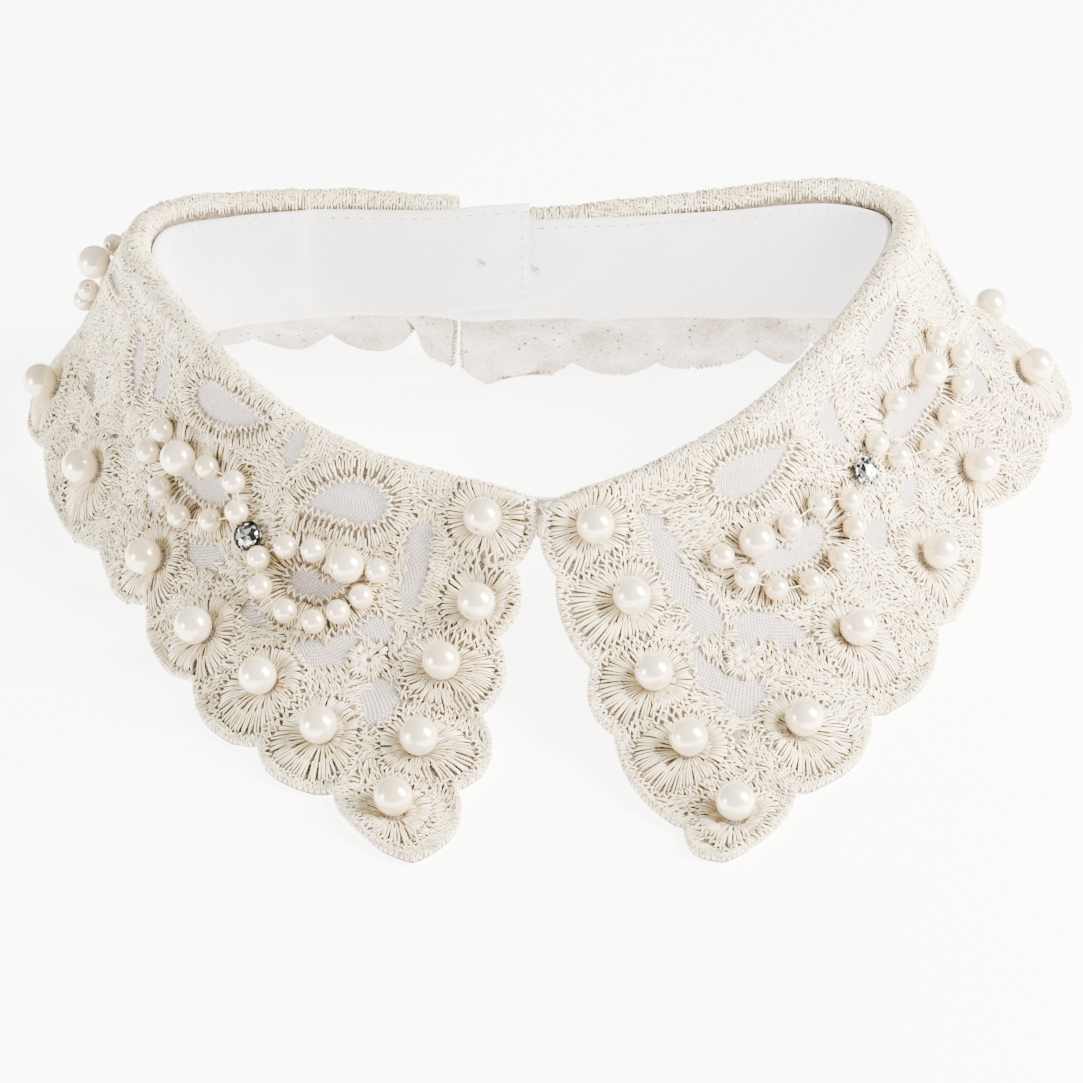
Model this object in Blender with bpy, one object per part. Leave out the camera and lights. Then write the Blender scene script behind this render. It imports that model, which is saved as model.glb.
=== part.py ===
"""False collar: two embroidered, scalloped wings on a cotton neck band, sewn with pearls and rhinestones.

The collar is fastened at the back and stands on its scallops as a ring. The front faces -Y.
Sizes and tables are in millimetres; CENTRE moves them so that the origin is under the middle.
"""

import math
from collections import namedtuple

import bpy
import numpy as np

MM = 0.001
CENTRE = (1.9, 110.0, 0.0)
GAP = 0.3

# Cloth
CLOTH = 1.8
BAND = 1.2
FOLD_RADIUS = 3.0
FOLD_ARC_STEPS = 4
TURNED_IN = 8.0
BAND_DROP = 3.8
BAND_GAP = 0.5
SCALLOP_ROUNDNESS = 0.8
# How fast a scallop's swell dies out from the edge into the wall, as powers.
LOBE_FADE = 2.0
FRONT_LOBE_FADE = 8.0
# The bulge of the wall reaches its full height at this share of the way along the fold.
BULGE_FROM = 0.125

# Beads
PEARL = 8.0
BOW_PEARL = 7.7
BEAD = 5.2
BEAD_NECK = 2.4
BEAD_REACH = 0.85
BEAD_SIDES = 6
STONE = 4.9
STONE_HEIGHT = 3.2
# The rhinestone's cup and stone: shares of its height and of its half width.
STONE_PROFILE = ((0.0, 0.7), (0.35, 1.0), (0.7, 1.0), (1.0, 0.55))
SNAP = 6.0
SNAP_HALF = 0.55

# Mesh density
SCALLOP_STEPS = 4
FRONT_SCALLOP_STEPS = 3
BAND_ROWS = 2
BALL_RINGS = 5
BALL_SIDES = 8
STONE_SIDES = 8
SNAP_SIDES = 12
SLOPE_STEP = 0.01
NORMAL_STEP = 0.004
SMOOTH_BELOW = 40.0

# One rib for each notch of the outer edge, from the front edge to the back end: the fold's crest,
# the notch, how far the wall between them bulges, and the height of the scallop that follows.
Rib = namedtuple("Rib", "scallop crest_x crest_y crest_z edge_x edge_y edge_z bulge lobe")
# One row for each notch of the front edge, from the neck to the tip.
Notch = namedtuple("Notch", "scallop x y z lobe")
# Places on the wall are shares of the way along the fold, from the front edge to the back end, and
# across the wall, from the fold down to the scallops.
Spot = namedtuple("Spot", "name along across")
# A ring of beads: its pearl, then its small beads in order. A bow is two rings with a stone between.
Ring = namedtuple("Ring", "pearl beads")
Bow = namedtuple("Bow", "name stone rings")

LEFT_RIBS = (
    Rib("tip", -1.3, 82.0, 39.0, -25.5, 11.5, -0.5, 2.0, 4.6),
    Rib("s1", -17.0, 87.0, 41.0, -42.0, 32.5, 3.0, 2.5, 4.8),
    Rib("s2", -34.0, 92.0, 43.5, -58.5, 47.0, 3.5, 3.0, 4.5),
    Rib("s3", -49.0, 99.5, 46.5, -73.5, 68.0, 4.0, 3.0, 5.0),
    Rib("s4", -61.0, 110.0, 49.5, -85.5, 94.5, 4.0, 2.5, 4.0),
    Rib("s5", -70.5, 121.5, 52.0, -97.0, 113.5, 5.0, 2.0, 5.5),
    Rib("s6", -83.5, 142.0, 55.5, -113.5, 152.5, 6.0, 0.5, 5.0),
    Rib("s7", -90.0, 157.5, 57.5, -116.5, 183.0, 7.0, 0.0, 5.0),
    Rib("b1", -86.0, 169.5, 59.0, -100.0, 201.0, 7.0, 0.0, 5.0),
    Rib("b2", -70.5, 173.5, 60.0, -69.0, 201.5, 6.0, 0.5, 5.5),
    Rib("b3", -54.0, 173.8, 60.5, -49.8, 198.8, 8.5, 1.0, 8.0),
    Rib("b4", -37.0, 173.5, 60.5, -30.2, 198.0, 9.3, 0.5, 5.0),
    Rib("end", -18.8, 172.0, 59.5, -20.6, 195.0, 1.5, 1.0, 0.0),
)
LEFT_FRONT = (
    Notch("f1", -1.3, 82.0, 39.0, 2.0),
    Notch("f2", -5.3, 74.5, 29.0, 3.2),
    Notch("f3", -9.0, 64.5, 17.5, 3.4),
    Notch("f4", -12.5, 49.5, 9.5, 4.6),
    Notch("tip", -17.5, 32.0, 4.0, 4.6),
)
RIGHT_RIBS = (
    Rib("tip", -0.1, 79.8, 38.5, 36.0, 11.5, -0.5, 2.0, 4.0),
    Rib("s1", 15.5, 86.5, 41.0, 51.5, 33.0, 3.0, 2.5, 6.0),
    Rib("s2", 32.5, 94.5, 45.0, 68.5, 58.0, 3.5, 3.0, 6.5),
    Rib("s3", 47.5, 105.5, 49.0, 84.5, 87.5, 4.0, 2.5, 6.5),
    Rib("s4", 62.0, 122.5, 54.0, 98.0, 126.5, 7.0, 1.5, 5.5),
    Rib("s5", 74.0, 142.0, 58.5, 115.5, 154.0, 10.0, 0.5, 6.0),
    Rib("s6", 80.5, 156.0, 62.0, 119.5, 184.0, 10.0, 0.0, 5.0),
    Rib("b1", 79.5, 166.0, 63.5, 104.0, 200.0, 9.0, 0.0, 5.0),
    Rib("b2", 69.5, 170.8, 64.5, 82.0, 201.5, 8.5, 0.5, 4.5),
    Rib("b3", 57.0, 171.5, 64.5, 63.5, 193.0, 9.0, -0.5, 6.0),
    Rib("b4", 43.0, 171.2, 62.5, 50.5, 196.5, 5.8, 1.5, 5.2),
    Rib("b5", 26.0, 170.5, 60.8, 27.0, 190.0, 6.5, -0.5, 5.5),
    Rib("b6", 7.0, 169.8, 58.8, 7.0, 191.0, 6.0, 0.5, 8.5),
    Rib("end", -17.8, 169.5, 57.5, -19.0, 184.5, 8.0, 0.5, 0.0),
)
RIGHT_FRONT = (
    Notch("f1", -0.1, 79.8, 38.5, 1.6),
    Notch("f2", 3.0, 71.5, 28.5, 2.2),
    Notch("f3", 10.0, 58.0, 15.0, 2.5),
    Notch("f4", 15.0, 45.0, 8.0, 3.0),
    Notch("tip", 28.5, 22.0, 2.0, 3.0),
)

# The neck band: how tall it is at these shares of its length, and its two ends where it is lapped.
BAND_HEIGHT = ((0.0, 25.5), (0.05, 27.5), (0.2, 30.0), (0.34, 24.0), (0.46, 10.0), (0.5, 9.0),
               (0.54, 10.0), (0.66, 24.0), (0.78, 30.0), (0.9, 27.0), (1.0, 24.5))
Lap = namedtuple("Lap", "x y top_z")
BAND_LEFT_END = (Lap(-2.7, 161.8, 64.3), Lap(-13.5, 162.1, 63.4), Lap(-25.0, 164.0, 61.2))
BAND_RIGHT_END = (Lap(-14.0, 165.3, 57.2), Lap(-25.5, 166.6, 57.0))
# The stretch of each wing's fold that carries the band, and the number of places along it.
BAND_ALONG_LEFT = (0.86, 0.05, 28)
BAND_ALONG_RIGHT = (0.05, 0.93, 30)
# How far the band's top rises towards the fold at these places along the wings.
BAND_RISE_LEFT = ((0.0, 0.0), (0.75, 0.0), (0.86, 1.4), (1.0, 1.4))
BAND_RISE_RIGHT = ((0.0, 0.0), (0.7, 0.0), (0.79, 0.9), (0.86, 1.8), (0.93, 3.2), (1.0, 3.2))
SNAP_PLACE = (-11.0, 44.0)

LEFT_PEARLS = (
    Spot("f1", 0.050, 0.057), Spot("f2", 0.033, 0.277), Spot("f3", 0.049, 0.483),
    Spot("f4", 0.044, 0.707), Spot("tip", 0.038, 0.903), Spot("s1", 0.123, 0.819),
    Spot("s2", 0.187, 0.779), Spot("s3", 0.261, 0.796), Spot("s4", 0.350, 0.768),
    Spot("s5", 0.458, 0.721), Spot("s6", 0.547, 0.769), Spot("b1", 0.708, 0.830),
    Spot("b2", 0.792, 0.820), Spot("b3", 0.875, 0.820), Spot("b4", 0.955, 0.800),
)
RIGHT_PEARLS = (
    Spot("f1", 0.047, 0.074), Spot("f2", 0.056, 0.278), Spot("f3", 0.049, 0.501),
    Spot("f4", 0.044, 0.691), Spot("tip", 0.034, 0.895), Spot("s1", 0.109, 0.823),
    Spot("s2", 0.184, 0.724), Spot("s3", 0.263, 0.789), Spot("s4", 0.330, 0.773),
    Spot("s5", 0.429, 0.755), Spot("s6", 0.520, 0.820), Spot("b2", 0.654, 0.820),
    Spot("b3", 0.730, 0.820), Spot("b4", 0.808, 0.820), Spot("b5", 0.885, 0.820),
    Spot("b6", 0.958, 0.840),
)
# The bows' places as (along, across).
BACK_RINGS = (
    Ring((0.603, 0.212), ((0.592, 0.340), (0.597, 0.440), (0.618, 0.510), (0.643, 0.530),
                          (0.664, 0.500), (0.678, 0.420), (0.675, 0.330), (0.657, 0.258),
                          (0.634, 0.205))),
    Ring((0.795, 0.400), ((0.818, 0.325), (0.808, 0.236), (0.782, 0.205), (0.757, 0.230),
                          (0.738, 0.300), (0.733, 0.400), (0.745, 0.490), (0.770, 0.530))),
)
LEFT_BOWS = (
    Bow("side", (0.257, 0.390), (
        Ring((0.153, 0.324), ((0.1275, 0.303), (0.136, 0.398), (0.151, 0.475), (0.166, 0.535),
                              (0.193, 0.533), (0.224, 0.516), (0.237, 0.436), (0.214, 0.340),
                              (0.189, 0.316))),
        Ring((0.367, 0.316), ((0.328, 0.276), (0.290, 0.249), (0.273, 0.329), (0.299, 0.428),
                              (0.338, 0.529), (0.381, 0.487), (0.414, 0.426), (0.409, 0.299))),
    )),
    Bow("back", (0.710, 0.350), BACK_RINGS),
)
RIGHT_BOWS = (
    Bow("side", (0.267, 0.378), (
        Ring((0.159, 0.310), ((0.132, 0.298), (0.139, 0.384), (0.158, 0.490), (0.182, 0.526),
                              (0.212, 0.532), (0.235, 0.503), (0.242, 0.394), (0.220, 0.329),
                              (0.191, 0.319))),
        Ring((0.355, 0.313), ((0.382, 0.280), (0.391, 0.414), (0.372, 0.508), (0.347, 0.538),
                              (0.320, 0.568), (0.295, 0.466), (0.285, 0.339), (0.318, 0.300))),
    )),
    Bow("back", (0.710, 0.350), BACK_RINGS),
)


def unit(vector):
    return vector / math.sqrt(vector @ vector)


def smooth_through(points, at):
    """A smooth curve through the points, read at a place counted in points from the first."""
    last = len(points) - 1
    i = min(max(int(math.floor(at)), 0), last - 1)
    t = at - i
    p1, p2 = points[i], points[i + 1]
    p0 = points[i - 1] if i > 0 else 2 * p1 - p2
    p3 = points[i + 2] if i + 2 <= last else 2 * p2 - p1
    return 0.5 * (
        2 * p1 + (p2 - p0) * t + (2 * p0 - 5 * p1 + 4 * p2 - p3) * t**2
        + (3 * p1 - p0 - 3 * p2 + p3) * t**3
    )


class Wing:
    """One wing's outer face: the turned-in edge, the fold and the wall down to the scallops."""

    def __init__(self, side, ribs, front):
        self.side = side
        self.turn = 1.0 if side == "left" else -1.0
        self.ribs = ribs
        self.front = front
        self.crests = np.array([(r.crest_x, r.crest_y, r.crest_z) for r in ribs])
        self.edges = np.array([(r.edge_x, r.edge_y, r.edge_z) for r in ribs])
        self.bulges = np.array([r.bulge for r in ribs])
        self.count = len(ribs) - 1
        tip = ribs[0]
        notches = [(n.x, n.y, n.z) for n in front] + [(tip.edge_x, tip.edge_y, tip.edge_z)]
        self.notches = np.array(notches, float)
        lengths = np.linalg.norm(np.diff(self.notches, axis=0), axis=1)
        self.notch_at = np.concatenate([[0.0], np.cumsum(lengths)]) / lengths.sum()
        self.inside = (self.crest(BULGE_FROM) + self.edge_base(BULGE_FROM)) / 2
        self.top_corner = self.fold_end(0.0)

    def crest(self, u):
        return smooth_through(self.crests, u * self.count)

    def edge_base(self, u):
        return smooth_through(self.edges, u * self.count)

    def slope(self, u):
        """The level direction square to the fold, away from the neck, and the wall's angle there."""
        along = self.crest(min(u + SLOPE_STEP, 1.0)) - self.crest(max(u - SLOPE_STEP, 0.0))
        out = unit(np.array([-along[1], along[0], 0.0])) * self.turn
        fall = self.edge_base(u) - self.crest(u)
        return out, math.atan2(-fall[2], float(fall @ out))

    def fold_point(self, u, angle):
        """The fold's outer face, at an angle from its crest towards the outside."""
        out, _ = self.slope(u)
        lift = math.cos(angle) - 1
        return self.crest(u) + FOLD_RADIUS * (math.sin(angle) * out + np.array([0, 0, lift]))

    def fold_end(self, u):
        return self.fold_point(u, self.slope(u)[1])

    def scallop(self, start, end, away, height, t):
        """How far a scallop's edge stands out from the line between its notches."""
        chord = unit(end - start)
        out = unit(away - chord * float(away @ chord))
        return out * height * math.sin(math.pi * t) ** SCALLOP_ROUNDNESS

    def outer_lobe(self, u):
        at = min(u * self.count, self.count - 1e-6)
        i = int(at)
        rib = self.ribs[i]
        start = np.array(self.edges[i])
        end = np.array(self.edges[i + 1])
        away = (start + end) / 2 - self.crest((i + 0.5) / self.count)
        return self.scallop(start, end, away, rib.lobe, at - i)

    def front_edge(self, v):
        """The line through the front edge's notches, and its scallop outside that line."""
        i = int(np.searchsorted(self.notch_at, v, side="right")) - 1
        i = min(max(i, 0), len(self.front) - 1)
        t = (v - self.notch_at[i]) / (self.notch_at[i + 1] - self.notch_at[i])
        base = smooth_through(self.notches, i + t)
        start, end = self.notches[i], self.notches[i + 1]
        away = (start + end) / 2 - self.inside
        shift = self.top_corner - self.crests[0]
        return base + shift * (1 - v), self.scallop(start, end, away, self.front[i].lobe, t)

    def wall(self, u, v):
        """The wall between the fold (v = 0), the scalloped edge (v = 1) and the front edge (u = 0)."""
        front, front_lobe = self.front_edge(v)
        corner = (1 - v) * self.top_corner + v * self.edges[0]
        point = (1 - v) * self.fold_end(u) + v * self.edge_base(u) + (1 - u) * (front - corner)
        point = point + v**LOBE_FADE * self.outer_lobe(u)
        point = point + (1 - u)**FRONT_LOBE_FADE * front_lobe
        out, angle = self.slope(u)
        square = math.sin(angle) * out + np.array([0, 0, math.cos(angle)])
        bulge = smooth_through(self.bulges, u * self.count)
        point = point + square * bulge * 4 * v * (1 - v) * min(1.0, u / BULGE_FROM)
        point[2] = max(point[2], CLOTH)
        return point

    def normal(self, u, v):
        low_u, high_u = max(u - NORMAL_STEP, 0.0), min(u + NORMAL_STEP, 1.0)
        low_v, high_v = max(v - NORMAL_STEP, 0.0), min(v + NORMAL_STEP, 1.0)
        along = self.wall(high_u, v) - self.wall(low_u, v)
        down = self.wall(u, high_v) - self.wall(u, low_v)
        return unit(np.cross(along, down)) * self.turn

    def seat(self, u, v, height):
        """A point above the wall, and the wall's direction outwards there."""
        out = self.normal(u, v)
        return self.wall(u, v) + out * height, out


def grid_values(places, steps):
    """The places and evenly spaced values between them."""
    values = [places[0]]
    for start, end in zip(places, places[1:]):
        values += [start + (end - start) * k / steps for k in range(1, steps + 1)]
    return values


def wing_mesh(wing):
    """Two layers of points, the outer face and the inner one, joined round their border."""
    us = grid_values([i / wing.count for i in range(wing.count + 1)], SCALLOP_STEPS)
    vs = grid_values(list(wing.notch_at), FRONT_SCALLOP_STEPS)
    outer, inner = [], []
    for u in us:
        out, angle = wing.slope(u)
        drop = np.array([0, 0, -TURNED_IN])
        foot = wing.crest(u) - out * FOLD_RADIUS + drop
        outer_row, inner_row = [foot], [foot + out * CLOTH]
        for k in range(FOLD_ARC_STEPS + 1):
            turn = -math.pi / 2 + (angle + math.pi / 2) * k / FOLD_ARC_STEPS
            face = math.sin(turn) * out + np.array([0, 0, math.cos(turn)])
            point = wing.fold_point(u, turn)
            outer_row.append(point)
            inner_row.append(point - face * CLOTH)
        for v in vs[1:]:
            point = wing.wall(u, v)
            outer_row.append(point)
            inner_row.append(point - wing.normal(u, v) * CLOTH)
        outer.append(outer_row)
        inner.append(inner_row)
    return closed_sheet(np.array(outer), np.array(inner), wing.turn < 0)


def closed_sheet(outer, inner, flip):
    """Points and faces of a wall with these two faces."""
    inner[:, :, 2] = np.maximum(inner[:, :, 2], 0.0)
    rows, columns = outer.shape[:2]
    points = np.concatenate([outer.reshape(-1, 3), inner.reshape(-1, 3)])
    half = rows * columns
    faces = []
    for i in range(rows - 1):
        for j in range(columns - 1):
            a, b = i * columns + j, (i + 1) * columns + j
            faces.append((a, b, b + 1, a + 1))
            faces.append((half + a, half + a + 1, half + b + 1, half + b))
    border = [(i, 0) for i in range(rows)]
    border += [(rows - 1, j) for j in range(1, columns)]
    border += [(i, columns - 1) for i in range(rows - 2, -1, -1)]
    border += [(0, j) for j in range(columns - 2, 0, -1)]
    ring = [i * columns + j for i, j in border]
    for a, b in zip(ring, ring[1:] + ring[:1]):
        faces.append((b, a, half + a, half + b))
    if flip:
        faces = [face[::-1] for face in faces]
    return points, faces


def add_object(name, points, faces, material):
    mesh = bpy.data.meshes.new(name)
    place = (np.asarray(points, float) - np.array(CENTRE)) * MM
    mesh.from_pydata([tuple(p) for p in place], [], faces)
    mesh.update()
    mesh.shade_smooth()
    mesh.set_sharp_from_angle(angle=math.radians(SMOOTH_BELOW))
    mesh.materials.append(material)
    made = bpy.data.objects.new(name, mesh)
    bpy.context.collection.objects.link(made)
    made.parent = bpy.data.objects["collar"]
    return made


def finish(name, colour, roughness, metallic=0.0, coat=0.0):
    material = bpy.data.materials.new(name)
    material.use_nodes = True
    shader = material.node_tree.nodes["Principled BSDF"]
    shader.inputs["Base Color"].default_value = (*colour, 1.0)
    shader.inputs["Roughness"].default_value = roughness
    shader.inputs["Metallic"].default_value = metallic
    shader.inputs["Coat Weight"].default_value = coat
    return material


def band_path(left, right):
    """The band's middle line and top edge, from its left end round the front to its right end."""
    inward = FOLD_RADIUS + BAND_GAP + BAND / 2
    rows = [np.array(lap) for lap in BAND_LEFT_END]
    for wing, along, rise in ((left, BAND_ALONG_LEFT, BAND_RISE_LEFT),
                              (right, BAND_ALONG_RIGHT, BAND_RISE_RIGHT)):
        places, rises = zip(*rise)
        for u in np.linspace(*along):
            crest = wing.crest(u)
            out, _ = wing.slope(u)
            drop = BAND_DROP - float(np.interp(u, places, rises))
            rows.append(crest - out * inward - np.array([0, 0, drop]))
    rows += [np.array(lap) for lap in BAND_RIGHT_END]
    return rows


def band_mesh(left, right):
    rows = band_path(left, right)
    last = len(rows) - 1
    shares, heights = zip(*BAND_HEIGHT)
    inside, outside = [], []
    for k, top in enumerate(rows):
        ahead = rows[min(k + 1, last)] - rows[max(k - 1, 0)]
        out = unit(np.array([ahead[1], -ahead[0], 0.0]))
        height = float(np.interp(k / last, shares, heights))
        drops = [np.array([0.0, 0.0, -height * j / BAND_ROWS]) for j in range(BAND_ROWS + 1)]
        inside.append([top - out * BAND / 2 + drop for drop in drops])
        outside.append([top + out * BAND / 2 + drop for drop in drops])
    return closed_sheet(np.array(outside), np.array(inside), True)


def ball_mesh(centre, radius):
    rings, sides = BALL_RINGS, BALL_SIDES
    points = [centre + np.array([0, 0, radius])]
    for i in range(1, rings):
        lat = math.pi * i / rings
        for j in range(sides):
            lon = 2 * math.pi * j / sides
            spot = (math.sin(lat) * math.cos(lon), math.sin(lat) * math.sin(lon), math.cos(lat))
            points.append(centre + radius * np.array(spot))
    points.append(centre - np.array([0, 0, radius]))
    faces = [(0, 1 + j, 1 + (j + 1) % sides) for j in range(sides)]
    for i in range(rings - 2):
        for j in range(sides):
            a, b = 1 + i * sides + j, 1 + i * sides + (j + 1) % sides
            faces.append((a, a + sides, b + sides, b))
    foot = len(points) - 1
    base = 1 + (rings - 2) * sides
    faces += [(foot, base + (j + 1) % sides, base + j) for j in range(sides)]
    return points, faces


def axes_for(direction):
    helper = np.array([0.0, 0.0, 1.0]) if abs(direction[2]) < 0.9 else np.array([1.0, 0.0, 0.0])
    first = unit(np.cross(helper, direction))
    return first, np.cross(direction, first)


def tube_faces(rings, sides):
    """The faces of a row of rings of points, closed by a flat cap at each end."""
    faces = [tuple(range(sides))[::-1]]
    for i in range(rings - 1):
        for j in range(sides):
            a, b = i * sides + j, i * sides + (j + 1) % sides
            faces.append((a, b, b + sides, a + sides))
    top = (rings - 1) * sides
    faces.append(tuple(range(top, top + sides)))
    return faces


def turned_mesh(foot, direction, profile, sides):
    """A solid turned round a line: profile rows are the height along it and the radius there."""
    first, second = axes_for(direction)
    points = []
    for height, radius in profile:
        for j in range(sides):
            lon = 2 * math.pi * j / sides
            ray = math.cos(lon) * first + math.sin(lon) * second
            points.append(foot + direction * height + ray * radius)
    return points, tube_faces(len(profile), sides)


def bead_string(seats):
    """One body: a round bead at each seat, joined to the next by the thread's narrow neck."""
    centres = [centre for centre, _ in seats]
    outs = [out for _, out in seats]
    radius = BEAD / 2
    rings = []
    for k, (centre, out) in enumerate(zip(centres, outs)):
        before = centres[max(k - 1, 0)]
        after = centres[min(k + 1, len(centres) - 1)]
        way = unit(after - before)
        up = unit(out - way * float(out @ way))
        across = np.cross(way, up)
        reach = BEAD_REACH * radius
        small = BEAD_NECK / 2
        for offset, size in ((-reach, small), (0.0, radius), (reach, small)):
            rings.append((centre + way * offset, up, across, size))
    points = []
    for middle, up, across, size in rings:
        for j in range(BEAD_SIDES):
            lon = 2 * math.pi * j / BEAD_SIDES
            points.append(middle + size * (math.cos(lon) * up + math.sin(lon) * across))
    return points, tube_faces(len(rings), BEAD_SIDES)


def build():
    for old in list(bpy.data.objects):
        bpy.data.objects.remove(old, do_unlink=True)
    root = bpy.data.objects.new("collar", None)
    bpy.context.collection.objects.link(root)

    lace = finish("cream embroidered cotton", (0.80, 0.73, 0.62), 0.85)
    cotton = finish("white cotton", (0.88, 0.88, 0.88), 0.9)
    pearl = finish("cream pearl", (0.86, 0.80, 0.72), 0.18, coat=0.6)
    silver = finish("silver set crystal", (0.78, 0.78, 0.80), 0.15, metallic=0.9)
    clear = finish("clear plastic", (0.85, 0.85, 0.85), 0.3)

    left = Wing("left", LEFT_RIBS, LEFT_FRONT)
    right = Wing("right", RIGHT_RIBS, RIGHT_FRONT)
    add_object("neck_band", *band_mesh(left, right), cotton)
    for wing, pearls, bows in ((left, LEFT_PEARLS, LEFT_BOWS), (right, RIGHT_PEARLS, RIGHT_BOWS)):
        add_object(f"wing_{wing.side}", *wing_mesh(wing), lace)
        for spot in pearls:
            centre, _ = wing.seat(spot.along, spot.across, PEARL / 2 + GAP)
            add_object(f"pearl_{wing.side}_{spot.name}", *ball_mesh(centre, PEARL / 2), pearl)
        for bow in bows:
            add_stone(wing, bow, silver)
            for number, ring in enumerate(bow.rings, 1):
                label = f"{wing.side}_{bow.name}_{number}"
                centre, _ = wing.seat(*ring.pearl, BOW_PEARL / 2 + GAP)
                add_object(f"pearl_bow_{label}", *ball_mesh(centre, BOW_PEARL / 2), pearl)
                seats = [wing.seat(*place, BEAD / 2 + GAP) for place in ring.beads]
                add_object(f"beads_{label}", *bead_string(seats), pearl)
    add_snap(clear)


def add_stone(wing, bow, material):
    foot, out = wing.seat(*bow.stone, GAP)
    profile = [(h * STONE_HEIGHT, w * STONE / 2) for h, w in STONE_PROFILE]
    mesh = turned_mesh(foot, out, profile, STONE_SIDES)
    add_object(f"stone_{wing.side}_{bow.name}", *mesh, material)


def add_snap(material):
    """The sewn snap that holds the band's lapped ends: its socket on one, its stud on the other."""
    x, z = SNAP_PLACE
    inner = Lap(*BAND_LEFT_END[1])
    face = inner.y + BAND / 2 + GAP
    back = np.array([0.0, 1.0, 0.0])
    rim = ((0.0, SNAP / 2), (SNAP_HALF, SNAP / 2))
    for name, y in (("snap_socket", face), ("snap_stud", face + SNAP_HALF + GAP)):
        add_object(name, *turned_mesh(np.array([x, y, z]), back, rim, SNAP_SIDES), material)


build()
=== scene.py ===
"""False collar, the looks: embroidered cotton wings, a stitched neck band, pearls, bead bows and
rhinestones.

Tables and sizes are in millimetres, in the frame of the collar's own drawing; CENTRE moves them to
the frame of the solids. Places on a wing are (along, across): a share of the way along the neck
fold from the front edge to the back end, and a share of the way from the fold to the scallops.
"""

import math
from collections import namedtuple

import bpy
import numpy as np
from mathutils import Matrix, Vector


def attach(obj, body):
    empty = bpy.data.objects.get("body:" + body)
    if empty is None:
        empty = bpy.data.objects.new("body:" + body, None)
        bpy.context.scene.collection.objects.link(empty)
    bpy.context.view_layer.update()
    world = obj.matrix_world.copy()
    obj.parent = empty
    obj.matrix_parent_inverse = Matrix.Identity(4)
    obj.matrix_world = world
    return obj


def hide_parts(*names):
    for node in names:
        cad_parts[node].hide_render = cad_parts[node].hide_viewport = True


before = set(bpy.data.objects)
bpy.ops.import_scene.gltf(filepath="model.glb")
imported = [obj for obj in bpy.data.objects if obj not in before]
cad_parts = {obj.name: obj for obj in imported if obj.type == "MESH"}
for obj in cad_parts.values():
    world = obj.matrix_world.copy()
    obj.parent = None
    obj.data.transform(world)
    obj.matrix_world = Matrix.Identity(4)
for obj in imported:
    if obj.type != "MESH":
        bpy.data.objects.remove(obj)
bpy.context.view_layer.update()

MM = 0.001
DOWN = np.array([0.0, 0.0, -1.0])
CENTRE = np.array([1.9, 110.0, 0.0])
TOWARD_CAMERA = np.array([0.0, -0.819, 0.574])
GAP = 0.3

# The drawing that the solids follow too
CLOTH = 1.8
BAND = 1.2
FOLD_RADIUS = 3.0
TURNED_IN = 8.0
BAND_DROP = 3.8
BAND_GAP = 0.5
SCALLOP_ROUNDNESS = 0.8
LOBE_FADE = 2.0
FRONT_LOBE_FADE = 8.0
BULGE_FROM = 0.125
SLOPE_STEP = 0.01
PEARL = 8.0
BOW_PEARL = 7.7
BEAD = 5.2
STONE = 4.9
STONE_HEIGHT = 3.2
SNAP = 6.0
SNAP_HALF = 0.55

Rib = namedtuple("Rib", "scallop crest_x crest_y crest_z edge_x edge_y edge_z bulge lobe")
Notch = namedtuple("Notch", "scallop x y z lobe")
Spot = namedtuple("Spot", "name along across")
Ring = namedtuple("Ring", "pearl beads")
Bow = namedtuple("Bow", "name stone rings")
Lap = namedtuple("Lap", "x y top_z")

LEFT_RIBS = (
    Rib("tip", -1.3, 82.0, 39.0, -25.5, 11.5, -0.5, 2.0, 4.6),
    Rib("s1", -17.0, 87.0, 41.0, -42.0, 32.5, 3.0, 2.5, 4.8),
    Rib("s2", -34.0, 92.0, 43.5, -58.5, 47.0, 3.5, 3.0, 4.5),
    Rib("s3", -49.0, 99.5, 46.5, -73.5, 68.0, 4.0, 3.0, 5.0),
    Rib("s4", -61.0, 110.0, 49.5, -85.5, 94.5, 4.0, 2.5, 4.0),
    Rib("s5", -70.5, 121.5, 52.0, -97.0, 113.5, 5.0, 2.0, 5.5),
    Rib("s6", -83.5, 142.0, 55.5, -113.5, 152.5, 6.0, 0.5, 5.0),
    Rib("s7", -90.0, 157.5, 57.5, -116.5, 183.0, 7.0, 0.0, 5.0),
    Rib("b1", -86.0, 169.5, 59.0, -100.0, 201.0, 7.0, 0.0, 5.0),
    Rib("b2", -70.5, 173.5, 60.0, -69.0, 201.5, 6.0, 0.5, 5.5),
    Rib("b3", -54.0, 173.8, 60.5, -49.8, 198.8, 8.5, 1.0, 8.0),
    Rib("b4", -37.0, 173.5, 60.5, -30.2, 198.0, 9.3, 0.5, 5.0),
    Rib("end", -18.8, 172.0, 59.5, -20.6, 195.0, 1.5, 1.0, 0.0),
)
LEFT_FRONT = (
    Notch("f1", -1.3, 82.0, 39.0, 2.0),
    Notch("f2", -5.3, 74.5, 29.0, 3.2),
    Notch("f3", -9.0, 64.5, 17.5, 3.4),
    Notch("f4", -12.5, 49.5, 9.5, 4.6),
    Notch("tip", -17.5, 32.0, 4.0, 4.6),
)
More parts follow.
